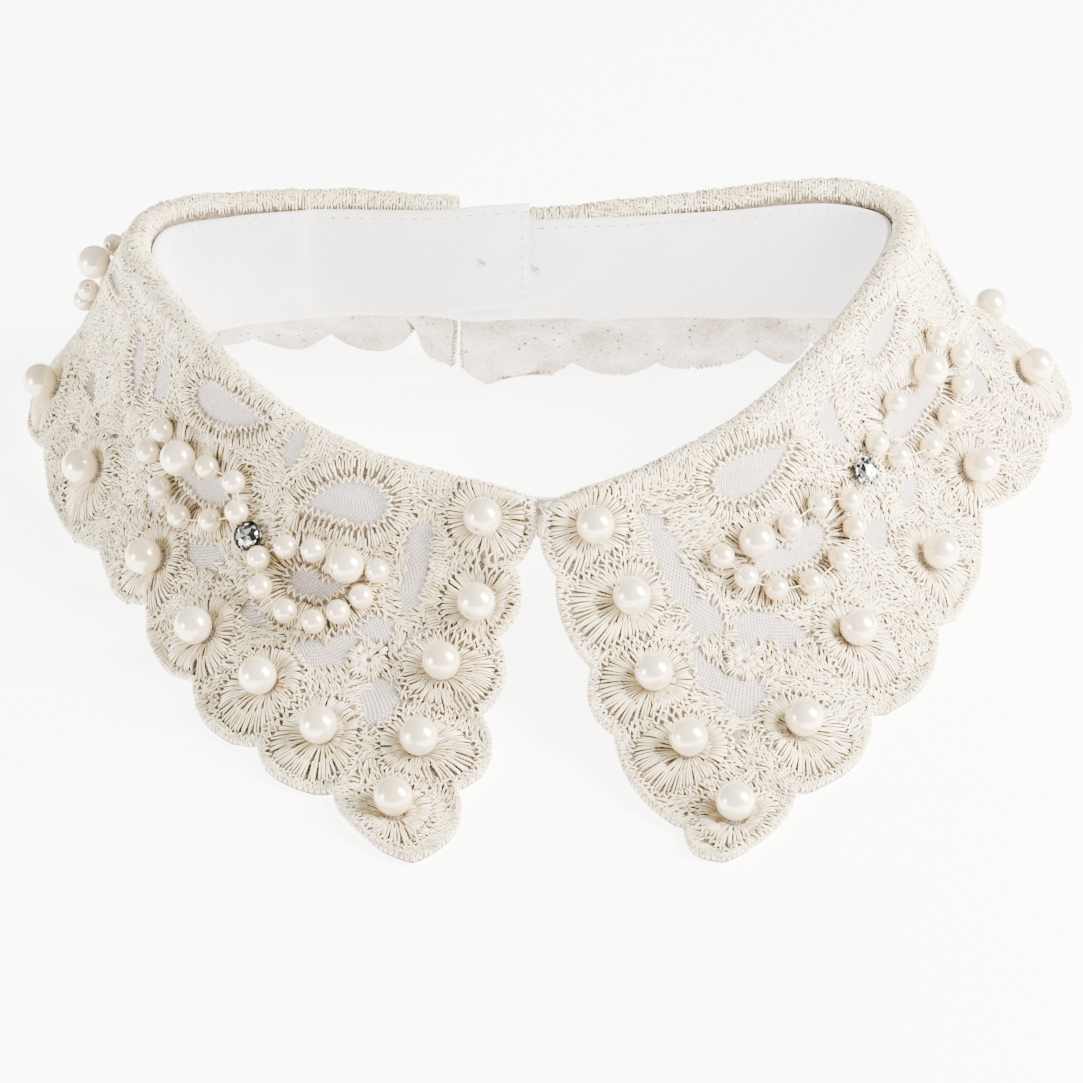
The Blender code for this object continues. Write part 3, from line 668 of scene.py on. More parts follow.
def fan(work, spot, others, front):
    """Stitches that radiate from a pearl to the edge of its scallop."""
    wing, random = work.wing, work.wing.random
    place = (spot.along, spot.across)
    centre = wing.read(*place)[0]
    theta = whole_turn(FAN_ANGLES)
    u, v = wing.round(place, theta[:, None], FAN_RADII)
    points = wing.read(u, v)[0]
    own = np.linalg.norm(points - centre, axis=2)
    near = np.min([np.linalg.norm(points - other, axis=2) for other in others], axis=0)
    toward = -np.cos(theta) if front else np.sin(theta)
    limit = FAN_REACH + FAN_REACH_MORE * np.clip(toward, 0, 1)
    good = (v < 0.99) & (u > 0.003) & (u < 0.997) & (v > -0.04) & (own < near - 0.2)
    good &= FAN_RADII[None] < limit[:, None]
    last = np.where(good.all(axis=1), len(FAN_RADII), np.argmin(good, axis=1)) - 1
    reach = softened(FAN_RADII[np.maximum(last, 3)], 2)

    def rays(number, low, high, level):
        angle = 2 * math.pi * (np.arange(number) + random.uniform(-0.22, 0.22, number)) / number
        limit_here = np.interp(angle, np.append(theta, 2 * math.pi), np.append(reach, reach[0]),
                               period=2 * math.pi)
        first = low(limit_here) * random.uniform(0.93, 1.07, number)
        final = high(limit_here) * random.uniform(0.94, 1.03, number)
        sweep = angle + random.uniform(-0.03, 0.03, number)
        start, end = wing.round(place, angle, first), wing.round(place, sweep, final)
        bow = random.uniform(-0.2, 0.2, number)
        work.add(start, end, THREAD * 0.92, THREAD_LIFT * 1.15, level, bow, under=False)

    rays(54, lambda r: 0 * r + 2.5, lambda r: 0.62 * r, 0.05)
    rays(92, lambda r: 0.5 * r, lambda r: r - 1.0, 0.08)
    x, y = np.cos(theta) * reach, np.sin(theta) * reach
    teeth(work, place, *resample(x, y, 0.82), -1.5, 0.35, 0.16, 0.45)
    work.taken.append(wing.spread(place, x, y))


def bow_loop(work, ring):
    """The embroidered loop that a ring of beads lies on."""
    wing = work.wing
    places = list(ring.beads) + [ring.pearl]
    middle = tuple(np.mean(places, axis=0))
    point, first, second = wing.axes_at(middle)
    spots = wing.read(np.array([p[0] for p in places]), np.array([p[1] for p in places]))[0] - point
    x, y = spots @ first, spots @ second
    angle, radius = np.arctan2(y, x), np.hypot(x, y)
    order = np.argsort(angle)
    theta = whole_turn(80) - math.pi
    r = softened(np.interp(theta, angle[order], radius[order], period=2 * math.pi), 12)
    inner = np.maximum(r - LOOP_INSET, 1.2)
    ring_of_stitches(work, middle, inner * np.cos(theta), inner * np.sin(theta), LOOP_WIDTH)


def column(work, path):
    """A satin column: stitches side by side across a path of places."""
    wing, random = work.wing, work.wing.random
    path = smooth_through(np.array(path), np.linspace(0, len(path) - 1, 200))
    points = wing.read(path[:, 0], path[:, 1])[0]
    length = run_length(points)
    at = np.arange(0, length[-1], PITCH)
    u, v = np.interp(at, length, path[:, 0]), np.interp(at, length, path[:, 1])
    ahead = np.stack([np.gradient(u), np.gradient(v)], axis=1)
    _, facing, pu, pv = wing.read(u, v)
    way = unit(pu * ahead[:, :1] + pv * ahead[:, 1:])
    side = unit(np.cross(facing, way))
    half = (COLUMN_WIDTH / 2 * random.uniform(0.88, 1.1, len(u)))[:, None]
    start = wing.step(u, v, -side * half - way * COLUMN_SLANT)
    end = wing.step(u, v, side * half + way * COLUMN_SLANT)
    work.add(start, end, THREAD * 1.05, THREAD_LIFT * 1.2, 0.1)
    wave = by_turns(len(u))[:, None] * 0.4
    for edge in (-1, 1):
        middle = side * edge * half
        start = wing.step(u, v, middle - side * edge * 0.7 - way * wave)
        end = wing.step(u, v, middle + side * edge * 0.8 + way * wave)
        work.add(start, end, THREAD * 0.85, THREAD_LIFT * 0.8, 0.18)


def rosette(work, place):
    """A small flower: stitches that radiate from its middle, longer in each petal."""
    wing, random = work.wing, work.wing.random
    for count, low, high in ((22, 0.5, 0.62), (38, 0.5, 1.0)):
        angle = 2 * math.pi * (np.arange(count) + random.uniform(-0.2, 0.2, count)) / count
        reach = ROSETTE * (0.74 + 0.26 * np.abs(np.cos(PETALS * angle / 2)))
        first = reach * low * random.uniform(0.8, 1.1, count) if high > 0.9 else low + 0 * reach
        final = reach * high * random.uniform(0.92, 1.05, count)
        start, end = wing.round(place, angle, first), wing.round(place, angle, final)
        work.add(start, end, THREAD * 1.1, THREAD_LIFT * 1.3, 0.1)
    t = whole_turn(60)
    work.taken.append(wing.round(place, t, ROSETTE * (0.8 + 0.26 * np.abs(np.cos(PETALS * t / 2)))))


def bare_patch(work, patch):
    """A gap between motifs where the white ground shows, with an uneven rim."""
    random = work.wing.random
    t = whole_turn(26)
    r = 1 + random.uniform(-0.18, 0.18, len(t))
    x, y = PATCH_SCALE * patch.wide * r * np.cos(t), PATCH_SCALE * patch.tall * r * np.sin(t)
    work.bare.append(work.wing.spread((patch.along, patch.across), x, y))


def crest_row(work):
    """Satin stitches over the neck fold."""
    wing, random = work.wing, work.wing.random
    points = wing.read(wing.us, np.zeros(len(wing.us)))[0]
    length = run_length(points)
    u = np.interp(np.arange(0.4, length[-1], PITCH), length, wing.us)
    size = len(u)
    low = -ARC_SHARE * random.uniform(0.9, 1.1, size)
    split = random.uniform(-0.025, 0.012, size)
    high = random.uniform(0.03, 0.06, size)
    lean = random.uniform(-0.0012, 0.0012, size)
    work.add((u, low), (u + lean, split + 0.01), THREAD, THREAD_LIFT, 0.0, under=False)
    work.add((u + 0.0014, split - 0.01), (u + lean, high), THREAD, THREAD_LIFT, 0.05)


def seed_stitches(work):
    """Short satin stitches that fill the ground between the motifs, each small area its own way."""
    wing, random, count = work.wing, work.wing.random, SEEDS
    u_steps, v_steps = np.gradient(wing.us), np.gradient(wing.vs)
    size = np.linalg.norm(np.cross(wing.along, wing.across), axis=2)
    size = size * u_steps[:, None] * v_steps[None, :]
    size[:, wing.vs < SEEDS_FROM] = 0
    total = np.cumsum(size.ravel())
    picks = (np.arange(count) + random.uniform(0, 1, count)) / count * total[-1]
    i, j = np.unravel_index(np.minimum(np.searchsorted(total, picks), size.size - 1), size.shape)
    u = np.clip(wing.us[i] + random.uniform(-0.5, 0.5, count) * u_steps[i], 0.002, 0.998)
    v = np.clip(wing.vs[j] + random.uniform(-0.5, 0.5, count) * v_steps[j], SEEDS_FROM, 0.995)
    points, facing, pu, _ = wing.read(u, v)
    first = unit(pu)
    second = np.cross(facing, first)
    middle_u = random.uniform(0, 1, FILL_AREAS)
    middles = wing.read(middle_u, random.uniform(SEEDS_FROM, 1, FILL_AREAS))[0]
    area, apart = np.empty(count, int), np.empty(count)
    for at in range(0, count, AT_ONCE):
        far = np.linalg.norm(points[at:at + AT_ONCE, None] - middles, axis=2)
        area[at:at + AT_ONCE] = far.argmin(axis=1)
        nearest = np.partition(far, 1, axis=1)
        apart[at:at + AT_ONCE] = nearest[:, 1] - nearest[:, 0]
    kept = apart > AREA_CREASE
    u, v, first, second, area = (x[kept] for x in (u, v, first, second, area))
    count = len(u)
    angle = random.uniform(0, math.pi, FILL_AREAS)[area] + random.normal(0, 0.24, count)
    way = np.cos(angle)[:, None] * first + np.sin(angle)[:, None] * second
    half = random.uniform(1.0, 1.7, count)[:, None]
    start = wing.step(u, v, -way * half)
    end = wing.step(u, v, way * half)
    bow = random.choice([-1, 1], count) * random.uniform(0.05, 0.35, count)
    heights = random.uniform(0, 0.5, count) ** 1.5 - 0.2
    work.add(start, end, THREAD, THREAD_LIFT, heights, bow, short=True)


def edge_stitches(work):
    """Overcast stitches that wrap the raw edges: the scallops, the front edge and the back end."""
    wing, random = work.wing, work.wing.random
    ones, wall = np.ones(len(wing.us)), np.linspace(0.0, 1.0, 400)
    zeros = 0 * wall
    lines = ((wing.us, ones, "across", -1.0), (zeros, wall, "along", 1.0),
             (zeros + 1.0, wall, "along", -1.0))
    for u, v, way, sign in lines:
        points = wing.read(u, v)[0]
        length = run_length(points)
        at = np.arange(0.3, length[-1], 0.62)
        u, v = np.interp(at, length, u), np.interp(at, length, v)
        p, up, along, across = wing.read(u, v)
        run = unit(np.gradient(p, axis=0))
        toward = unit(across if way == "across" else along) * sign
        inward = unit(toward - run * (toward * run).sum(axis=1, keepdims=True))
        zig = by_turns(len(u)) * 0.3 + random.uniform(-0.12, 0.12, len(u))
        depth = random.uniform(1.5, 2.3, len(u))
        out = random.uniform(0.15, 0.4, len(u))
        rows = []
        # Each station's way in from the edge, height over the face and share of the zigzag
        for ins, high, slide in ((depth, -0.2, 1.0), (0.9, 0.42, 0.5), (-out, 0.1, 0.0),
                                 (-out - 0.05, -0.85, -0.5), (0.5, -1.7, -1.0)):
            row = p + inward * np.broadcast_to(ins, len(u))[:, None] + up * high
            rows.append(row + run * (zig * slide)[:, None])
        stations = np.stack(rows, axis=1)
        ups = np.stack([up, unit(up - 0.3 * inward), unit(up - 1.2 * inward),
                        unit(-inward - 0.4 * up), -up], axis=1)
        widths = THREAD * 1.05 * np.repeat(STATION_WIDTH[None], len(u), axis=0)
        tones = TONE + TONE_SPREAD * random.standard_normal(len(u))
        work.loose.append((stations, ups, widths, np.zeros(widths.shape),
                           np.repeat(tones[:, None], 5, axis=1)))


Patch = namedtuple("Patch", "along across wide tall")
Paisley = namedtuple("Paisley", "along across length breadth curl heading width")

# Traditional drops with a bent tail, by the place of the eyelet's middle; sizes in millimetres,
# headings in degrees.
BACK_PAISLEYS = (
    Paisley(0.700, 0.120, 16.0, 6.0, 2.4, 0.0, 4.4),
    Paisley(0.850, 0.140, 16.0, 6.5, 2.4, 8.0, 4.4),
    Paisley(0.935, 0.420, 14.0, 6.0, 2.2, 80.0, 4.4),
)
LEFT_PAISLEYS = (
    Paisley(0.345, 0.082, 23.0, 8.5, 2.4, 188.0, 4.6),
    Paisley(0.183, 0.138, 20.5, 10.0, 2.8, 12.0, 5.0),
    Paisley(0.470, 0.250, 15.0, 6.0, 2.4, 100.0, 4.4),
    Paisley(0.560, 0.110, 14.0, 5.5, 2.2, 10.0, 4.2),
) + BACK_PAISLEYS
RIGHT_PAISLEYS = (
    Paisley(0.195, 0.138, 22.5, 9.5, -2.4, 8.0, 5.0),
    Paisley(0.352, 0.112, 18.0, 8.5, -2.2, 0.0, 4.6),
    Paisley(0.455, 0.270, 15.0, 6.0, 2.4, 100.0, 4.4),
    Paisley(0.545, 0.110, 14.0, 5.5, 2.2, 10.0, 4.2),
) + BACK_PAISLEYS
BACK_PATCHES = (Patch(0.780, 0.620, 6.0, 4.0), Patch(0.880, 0.560, 5.0, 5.0))
LEFT_PATCHES = (
    Patch(0.100, 0.190, 4.0, 7.0), Patch(0.093, 0.314, 3.5, 7.0), Patch(0.254, 0.045, 3.0, 6.0),
    Patch(0.443, 0.200, 4.0, 6.0), Patch(0.307, 0.560, 8.0, 4.5), Patch(0.093, 0.680, 5.0, 8.0),
    Patch(0.167, 0.640, 6.0, 4.0), Patch(0.140, 0.560, 4.0, 5.5), Patch(0.080, 0.460, 3.0, 6.0),
    Patch(0.120, 0.460, 6.0, 3.5), Patch(0.225, 0.600, 5.0, 3.5), Patch(0.390, 0.560, 5.0, 5.0),
    Patch(0.640, 0.080, 4.0, 5.0),
) + BACK_PATCHES
RIGHT_PATCHES = (
    Patch(0.098, 0.190, 4.0, 8.0), Patch(0.097, 0.310, 4.0, 7.0), Patch(0.133, 0.529, 7.0, 4.5),
    Patch(0.085, 0.560, 3.5, 7.0), Patch(0.100, 0.670, 6.0, 7.0), Patch(0.150, 0.620, 5.0, 4.0),
    Patch(0.253, 0.586, 6.0, 4.0), Patch(0.270, 0.190, 4.0, 7.0), Patch(0.105, 0.430, 4.5, 5.0),
    Patch(0.390, 0.600, 5.0, 5.0), Patch(0.290, 0.620, 6.0, 3.5), Patch(0.440, 0.560, 5.0, 5.0),
    Patch(0.620, 0.080, 4.0, 5.0),
) + BACK_PATCHES
LEFT_ROSETTES = ((0.113, 0.557), (0.600, 0.690), (0.800, 0.640))
RIGHT_ROSETTES = ((0.112, 0.590), (0.590, 0.690), (0.800, 0.640))
LEFT_COLUMN = ((0.083, 0.10), (0.081, 0.21), (0.074, 0.33), (0.060, 0.43), (0.052, 0.52))
RIGHT_COLUMN = ((0.084, 0.10), (0.082, 0.21), (0.076, 0.33), (0.068, 0.43), (0.060, 0.52))


def embroider(wing, paisleys, patches, rosettes, front_column):
    """All of a wing's stitches, the motifs first and the ground between them after."""
    work = Embroidery(wing)
    centres = {s.name: wing.read(s.along, s.across)[0] for s in wing.pearls}
    for spot in wing.pearls:
        others = [c for name, c in centres.items() if name != spot.name]
        fan(work, spot, others, spot.name.startswith("f"))
    for bow in wing.bows:
        for ring in bow.rings:
            bow_loop(work, ring)
    for drop in paisleys:
        ring_of_stitches(work, (drop.along, drop.across), *paisley_line(drop), drop.width)
    for place in rosettes:
        rosette(work, place)
    column(work, front_column)
    for patch in patches:
        bare_patch(work, patch)
    crest_row(work)
    seed_stitches(work)
    edge_stitches(work)
    return work


def sheet_faces(rows, columns):
    """Faces of two layers of points, the outer and then the inner one, and of their rim."""
    i, j = np.meshgrid(np.arange(rows - 1), np.arange(columns - 1), indexing="ij")
    a = (i * columns + j).ravel()
    b = a + columns
    half = rows * columns
    outer = np.stack([a, b, b + 1, a + 1], axis=1)
    border = [(k, 0) for k in range(rows)]
    border += [(rows - 1, k) for k in range(1, columns)]
    border += [(k, columns - 1) for k in range(rows - 2, -1, -1)]
    border += [(0, k) for k in range(columns - 2, 0, -1)]
    ring = np.array([k * columns + m for k, m in border])
    after = np.roll(ring, -1)
    rim = np.stack([after, ring, ring + half, after + half], axis=1)
    return outer, outer[:, ::-1] + half, rim


def sheet_piece(name, outer, inner, flip, materials, cloth):
    """A thin closed sheet: the last material on its inner face, the first on the rest."""
    rows, columns = outer.shape[:2]
    faces = sheet_faces(rows, columns)
    quads = np.concatenate(faces)
    if flip:
        quads = quads[:, ::-1]
    points = np.concatenate([outer.reshape(-1, 3), inner.reshape(-1, 3)])
    piece = new_object(name, points, quads, materials, sharp=60.0)
    index = np.repeat([0, len(materials) - 1, 0], [len(f) for f in faces]).astype(np.int32)
    piece.data.polygons.foreach_set("material_index", index)
    coords = np.concatenate([cloth.reshape(-1, 3)] * 2)
    give_values(piece, "cloth", coords, "FLOAT_VECTOR")
    return piece


# About how far a wing's cloth reaches from the fold to the scallops
WING_DEPTH = 64.0


def wing_cloth(wing, bare, materials):
    """The wing's cloth, thinner than its solid; its value "bare" is 1 where the ground shows."""
    us, walls = wing.places(*CLOTH_STEPS)
    vs = np.concatenate([wing.vs[wing.vs < -1e-9], walls])
    u, v = np.meshgrid(us, vs, indexing="ij")
    points, facing, _, _ = wing.read(u, v)
    outer = points + facing * BASE_LEVEL
    inner = outer - facing * BASE_THICK
    line = wing.read(us, np.full(len(us), 0.4))[0]
    length = np.broadcast_to(run_length(line)[:, None], u.shape)
    cloth = np.stack([length, v * WING_DEPTH, 0 * u], axis=2)
    piece = sheet_piece(f"wing_{wing.side}_cloth", outer, inner, wing.turn < 0, materials,
                        cloth)
    shows = np.zeros(2 * u.size)
    for outline in bare:
        shows[:u.size][inside(u.ravel(), v.ravel(), outline)] = 1.0
    give_values(piece, "bare", shows)
    return piece


# The neck band's two layers of cloth and its stitching
BAND_MAIN = 0.78
BAND_UNDER = 0.3
BAND_PLACES = 420
BAND_COLUMNS = 28
STITCH_LINE_TOP = 1.7
STITCH_LINE_BOTTOM = 2.3
HEM = 3.4
STITCH_STEP = 3.2
# The snap's two tacks: their x, their depth under the band's top, and the end that they are in.
TACKS = ((-13.5, 13.8, "left"), (-0.2, 11.9, "right"))
TACK_STITCHES = 7
# The upright seam that closes the left end
SEAM_STITCHES = 9


def band_line(left, right):
    """The band's middle line along its top, its height, and the level direction out of the neck."""
    inward = FOLD_RADIUS + BAND_GAP + BAND / 2
    rows = [np.array(lap) for lap in BAND_LEFT_END]
    for wing, along, rise in ((left, BAND_ALONG_LEFT, BAND_RISE_LEFT),
                              (right, BAND_ALONG_RIGHT, BAND_RISE_RIGHT)):
        us = np.linspace(*along)
        out, _ = wing.slope(us)
        drop = BAND_DROP - np.interp(us, *zip(*rise))
        rows += list(wing.crest(us) - out * inward - drop[:, None] * np.array([0, 0, 1.0]))
    rows += [np.array(lap) for lap in BAND_RIGHT_END]
    at = np.linspace(0, len(rows) - 1, BAND_PLACES)
    line = smooth_through(np.array(rows), at)
    shares, heights = zip(*BAND_HEIGHT)
    height = np.interp(at / (len(rows) - 1), shares, heights)
    ahead = np.gradient(line, axis=0)
    out = unit(np.stack([ahead[:, 1], -ahead[:, 0], 0 * ahead[:, 0]], axis=1))
    return line, height, out, run_length(line)


def band_face(s, d, h):
    """How far the band's inner face stands towards the neck from its middle: a distance s along the
    band and d down from its top, where it is h tall."""
    rounded = np.clip((0.7 - d) / 0.7, 0, 1) ** 2 * 0.3
    rounded = rounded + np.clip((d - h + 0.6) / 0.6, 0, 1) ** 2 * 0.3
    groove = np.exp(-((d - STITCH_LINE_TOP) / 0.4) ** 2)
    groove = groove + np.exp(-((d - h + STITCH_LINE_BOTTOM) / 0.4) ** 2)
    hem = 0.16 / (1 + np.exp(-(d - h + HEM) / 0.15)) + 0.12 / (1 + np.exp((d - 4.6) / 0.15))
    ripple = 0.16 * np.sin(s / 5.3 + 0.2 * d) * np.sin(s / 13.0 + 1)
    ripple = ripple + 0.12 * np.sin(s / 2.9 - 0.31 * d)
    pinch = 0.1 * np.cos(2 * math.pi * s / STITCH_STEP) * groove
    fade = np.clip(np.minimum(d, h - d) / 3.0, 0.25, 1)
    return 0.34 + hem - rounded - 0.24 * groove + ripple * fade * 0.6 + pinch


def neck_band(left, right, materials):
    """The band's cloth, the turned hem behind its lower edge, and what its stitches follow."""
    line, height, out, length = band_line(left, right)
    height = height + (0.12 * np.sin(length / 9.0) + 0.08 * np.sin(length / 3.9 + 1))
    share = 0.5 - 0.5 * np.cos(np.linspace(0, math.pi, BAND_COLUMNS))
    share = 0.5 * share + 0.5 * np.linspace(0, 1, BAND_COLUMNS)
    drop = height[:, None] * share[None]
    s = np.broadcast_to(length[:, None], drop.shape)
    middle = line[:, None] + drop[:, :, None] * DOWN
    toward = band_face(s, drop, height[:, None])
    inner = middle - out[:, None] * toward[:, :, None]
    outer = inner + out[:, None] * BAND_MAIN
    cloth = np.stack([s, drop, 0 * s], axis=2)
    band = sheet_piece("neck_band_cloth", outer, inner, True, materials, cloth)

    ends = np.linspace(0, 1, 7)
    hang = height + 0.55 + 0.3 * np.sin(length / 6.1) + 0.2 * np.sin(length / 2.3)
    low = (height - 5.0)[:, None] + ends[None] * (hang - height + 5.0)[:, None]
    middle = line[:, None] + low[:, :, None] * DOWN
    push = 0.42 + 0.05 * np.sin(length / 4.0)
    face = middle + out[:, None] * (push - BAND_UNDER / 2)[:, None, None]
    back = face + out[:, None] * BAND_UNDER
    s = np.broadcast_to(length[:, None], low.shape)
    cloth = np.stack([s, low, 0 * s], axis=2)
    under = sheet_piece("neck_band_turned_hem", back, face, True, materials, cloth)
    return band, under, (line, height, out, length)


def band_stitching(numbers, materials):
    """Rows of machine stitches along the band's top and bottom, and the snap's tacks."""
    line, height, out, length = numbers
    random = np.random.default_rng(3)
    rows, ups, holes, hole_ups = [], [], [], []

    def stitch(middle, drop, run, rise):
        """A stitch that slants up by rise, with a dark strip of painted shade at its needle hole
        where it is level or slants down.
        """
        at = middle + np.linspace(-run / 2, run / 2, 5)
        p = np.stack([np.interp(at, length, line[:, k]) for k in range(3)], axis=1)
        o = np.stack([np.interp(at, length, out[:, k]) for k in range(3)], axis=1)
        h = np.interp(at, length, height)
        d = np.where(drop < 0, h + drop, drop) + rise * np.linspace(-0.5, 0.5, 5)
        toward = band_face(at, d, h) + np.array([-0.12, 0.06, 0.1, 0.06, -0.12])
        rows.append(p + d[:, None] * DOWN - o * toward[:, None])
        ups.append(-unit(o))
        if rise < 0.1:
            # Painted shade: a dark strip lies where the needle went in.
            hole = rows[-1][0] + (rows[-1][1] - rows[-1][0]) * np.linspace(-0.7, 0.5, 5)[:, None]
            holes.append(hole - unit(o) * 0.26)
            hole_ups.append(-unit(o))

    for s in np.arange(1.5, length[-1] - 1.0, STITCH_STEP):
        stitch(s, STITCH_LINE_TOP, STITCH_STEP * 0.74, 0.05)
        stitch(s + 0.8, -STITCH_LINE_BOTTOM, STITCH_STEP * 0.74, 0.05)
    for x, drop, end in TACKS:
        elsewhere = (line[:, 1] < 150) | ((length < length[-1] / 2) == (end == "right"))
        s = length[(np.abs(line[:, 0] - x) + 1000 * elsewhere).argmin()]
        for _ in range(TACK_STITCHES):
            stitch(s + random.uniform(-0.5, 0.5), drop + random.uniform(-0.8, 0.8), 1.7,
                   random.choice([-1.5, 1.5]) + random.uniform(-0.3, 0.3))
    for k in range(SEAM_STITCHES):
        stitch(1.6, 3.0 + 2.6 * k, 0.15, 1.8)
    pieces = []
    for name, points, facing, width, lift, material in (
        ("stitching", rows, ups, 0.55, 0.05, materials[:1]),
        ("needle_hole_shade", holes, hole_ups, 0.85, 0.04, materials[1:]),
    ):
        widths = np.repeat(width * STATION_WIDTH[None], len(points), axis=0)
        lifts = np.full(widths.shape, lift)
        flat, quads = strips(np.array(points), np.array(facing), widths, lifts)
        pieces.append(new_object("neck_band_" + name, flat, quads, material))
    return pieces


def ball(centre, axis, radius, hole, sides, rings):
    """A round bead with a drilled hole, as points and four-cornered faces."""
    helper = np.where(abs(axis[2]) < 0.9, [0.0, 0.0, 1.0], [1.0, 0.0, 0.0])
    first = unit(np.cross(helper, axis))
    second = np.cross(axis, first)
    rim = math.asin(hole / radius)
    lat = np.linspace(rim, math.pi - rim, rings)
    heights = radius * np.cos(lat)
    edge = 0.1 * radius
    heights = [heights[0] - edge, *heights, heights[-1] + edge]
    widths = [hole * 0.9, *(radius * np.sin(lat)), hole * 0.9]
    lon = whole_turn(sides)
    ray = np.cos(lon)[:, None] * first + np.sin(lon)[:, None] * second
    points = [centre + axis * h + ray * w for h, w in zip(heights, widths)]
    return np.concatenate(points), ring_quads(len(points), sides, closed=True)[:, [0, 3, 2, 1]]


def join_pieces(name, parts, materials, tones=None):
    """One mesh piece from several (points, faces)."""
    points, quads, values, base = [], [], [], 0
    for k, (p, q) in enumerate(parts):
        points.append(p)
        quads.append(q + base)
        values.append(np.full(len(p), 0.5 if tones is None else tones[k]))
        base += len(p)
    piece = new_object(name, np.concatenate(points), np.concatenate(quads), materials)
    give_values(piece, "tone", np.concatenate(values))
    return piece


def tube(points, radius, sides=8):
    """A thread along a line of points, as points and four-cornered faces."""
    ahead = unit(np.gradient(points, axis=0))
    helper = np.array([0.31, 0.17, 0.93])
    first = unit(np.cross(ahead, helper))
    second = np.cross(ahead, first)
    lon = whole_turn(sides)
    across, along = np.cos(lon)[None, :, None], np.sin(lon)[None, :, None]
    ring = across * first[:, None] + along * second[:, None]
    flat = (points[:, None] + ring * radius).reshape(-1, 3)
    return flat, ring_quads(len(points), sides)


def pearls_of(wing, materials, thread):
    """The wing's large pearls, its bows' pearls and its small beads on their threads."""
    random = np.random.default_rng(21 if wing.side == "left" else 22)
    big, places = [], []
    for spot in wing.pearls:
        centre, facing = wing.seat((spot.along, spot.across), PEARL / 2 + GAP)
        axis = unit(np.cross(facing, TOWARD_CAMERA) + random.uniform(-0.12, 0.12, 3) - 0.2 * facing)
        big.append(ball(centre, axis, PEARL / 2, 0.5, 36, 22))
        places.append((centre, PEARL / 2))
    piece = join_pieces(f"pearls_{wing.side}", big, materials,
                        random.uniform(0, 1, len(big)))
    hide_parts(*[f"pearl_{wing.side}_{s.name}" for s in wing.pearls])
    middle, small, threads, names = [], [], [], []
    for bow in wing.bows:
        for number, ring in enumerate(bow.rings, 1):
            names.append(f"{wing.side}_{bow.name}_{number}")
            centre, facing = wing.seat(ring.pearl, BOW_PEARL / 2 + GAP)
            axis = unit(np.cross(facing, TOWARD_CAMERA) - 0.2 * facing)
            middle.append(ball(centre, axis, BOW_PEARL / 2, 0.5, 34, 20))
            places.append((centre, BOW_PEARL / 2))
            seats = [wing.seat(place, BEAD / 2 + GAP) for place in ring.beads]
            line = np.array([s[0] for s in seats])
            for k, (centre, facing) in enumerate(seats):
                way = unit(line[min(k + 1, len(line) - 1)] - line[max(k - 1, 0)])
                axis = unit(way + random.uniform(-0.3, 0.3) * facing)
                small.append(ball(centre, axis, BEAD / 2, 0.3, 26, 16))
                places.append((centre, BEAD / 2))
            first_end = seats[0][0] - seats[0][1] * (BEAD / 2 + 0.6)
            last_end = seats[-1][0] - seats[-1][1] * (BEAD / 2 + 0.6)
            route = np.concatenate([[first_end], line, [last_end]])
            route = smooth_through(route, np.linspace(0, len(route) - 1, len(route) * 4))
            threads.append(tube(route, 0.16))
    tones = random.uniform(0, 1, len(small))
    piece = join_pieces(f"bow_pearls_{wing.side}", middle, materials, tones)
    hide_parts(*[f"pearl_bow_{name}" for name in names])
    piece = join_pieces(f"bow_beads_{wing.side}", small, materials, tones)
    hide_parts(*[f"beads_{name}" for name in names])
    join_pieces(f"bow_threads_{wing.side}", threads, thread)
    return places


# Each station's height and half width as a share of the cup's, for its wall and for one claw.
CUP_PROFILE = ((0.0, 0.62), (0.0, 0.72), (0.5, 0.95), (1.1, 1.12), (1.9, 1.17), (2.15, 1.12),
               (2.15, 0.95), (1.7, 0.9), (0.6, 0.5))
CUP_SIDES = 40
CLAWS = 8
CLAW_PROFILE = ((1.2, 1.14, 0.15), (2.25, 1.12, 0.13), (2.7, 0.92, 0.08))
STONE_WIDENED = 1.15


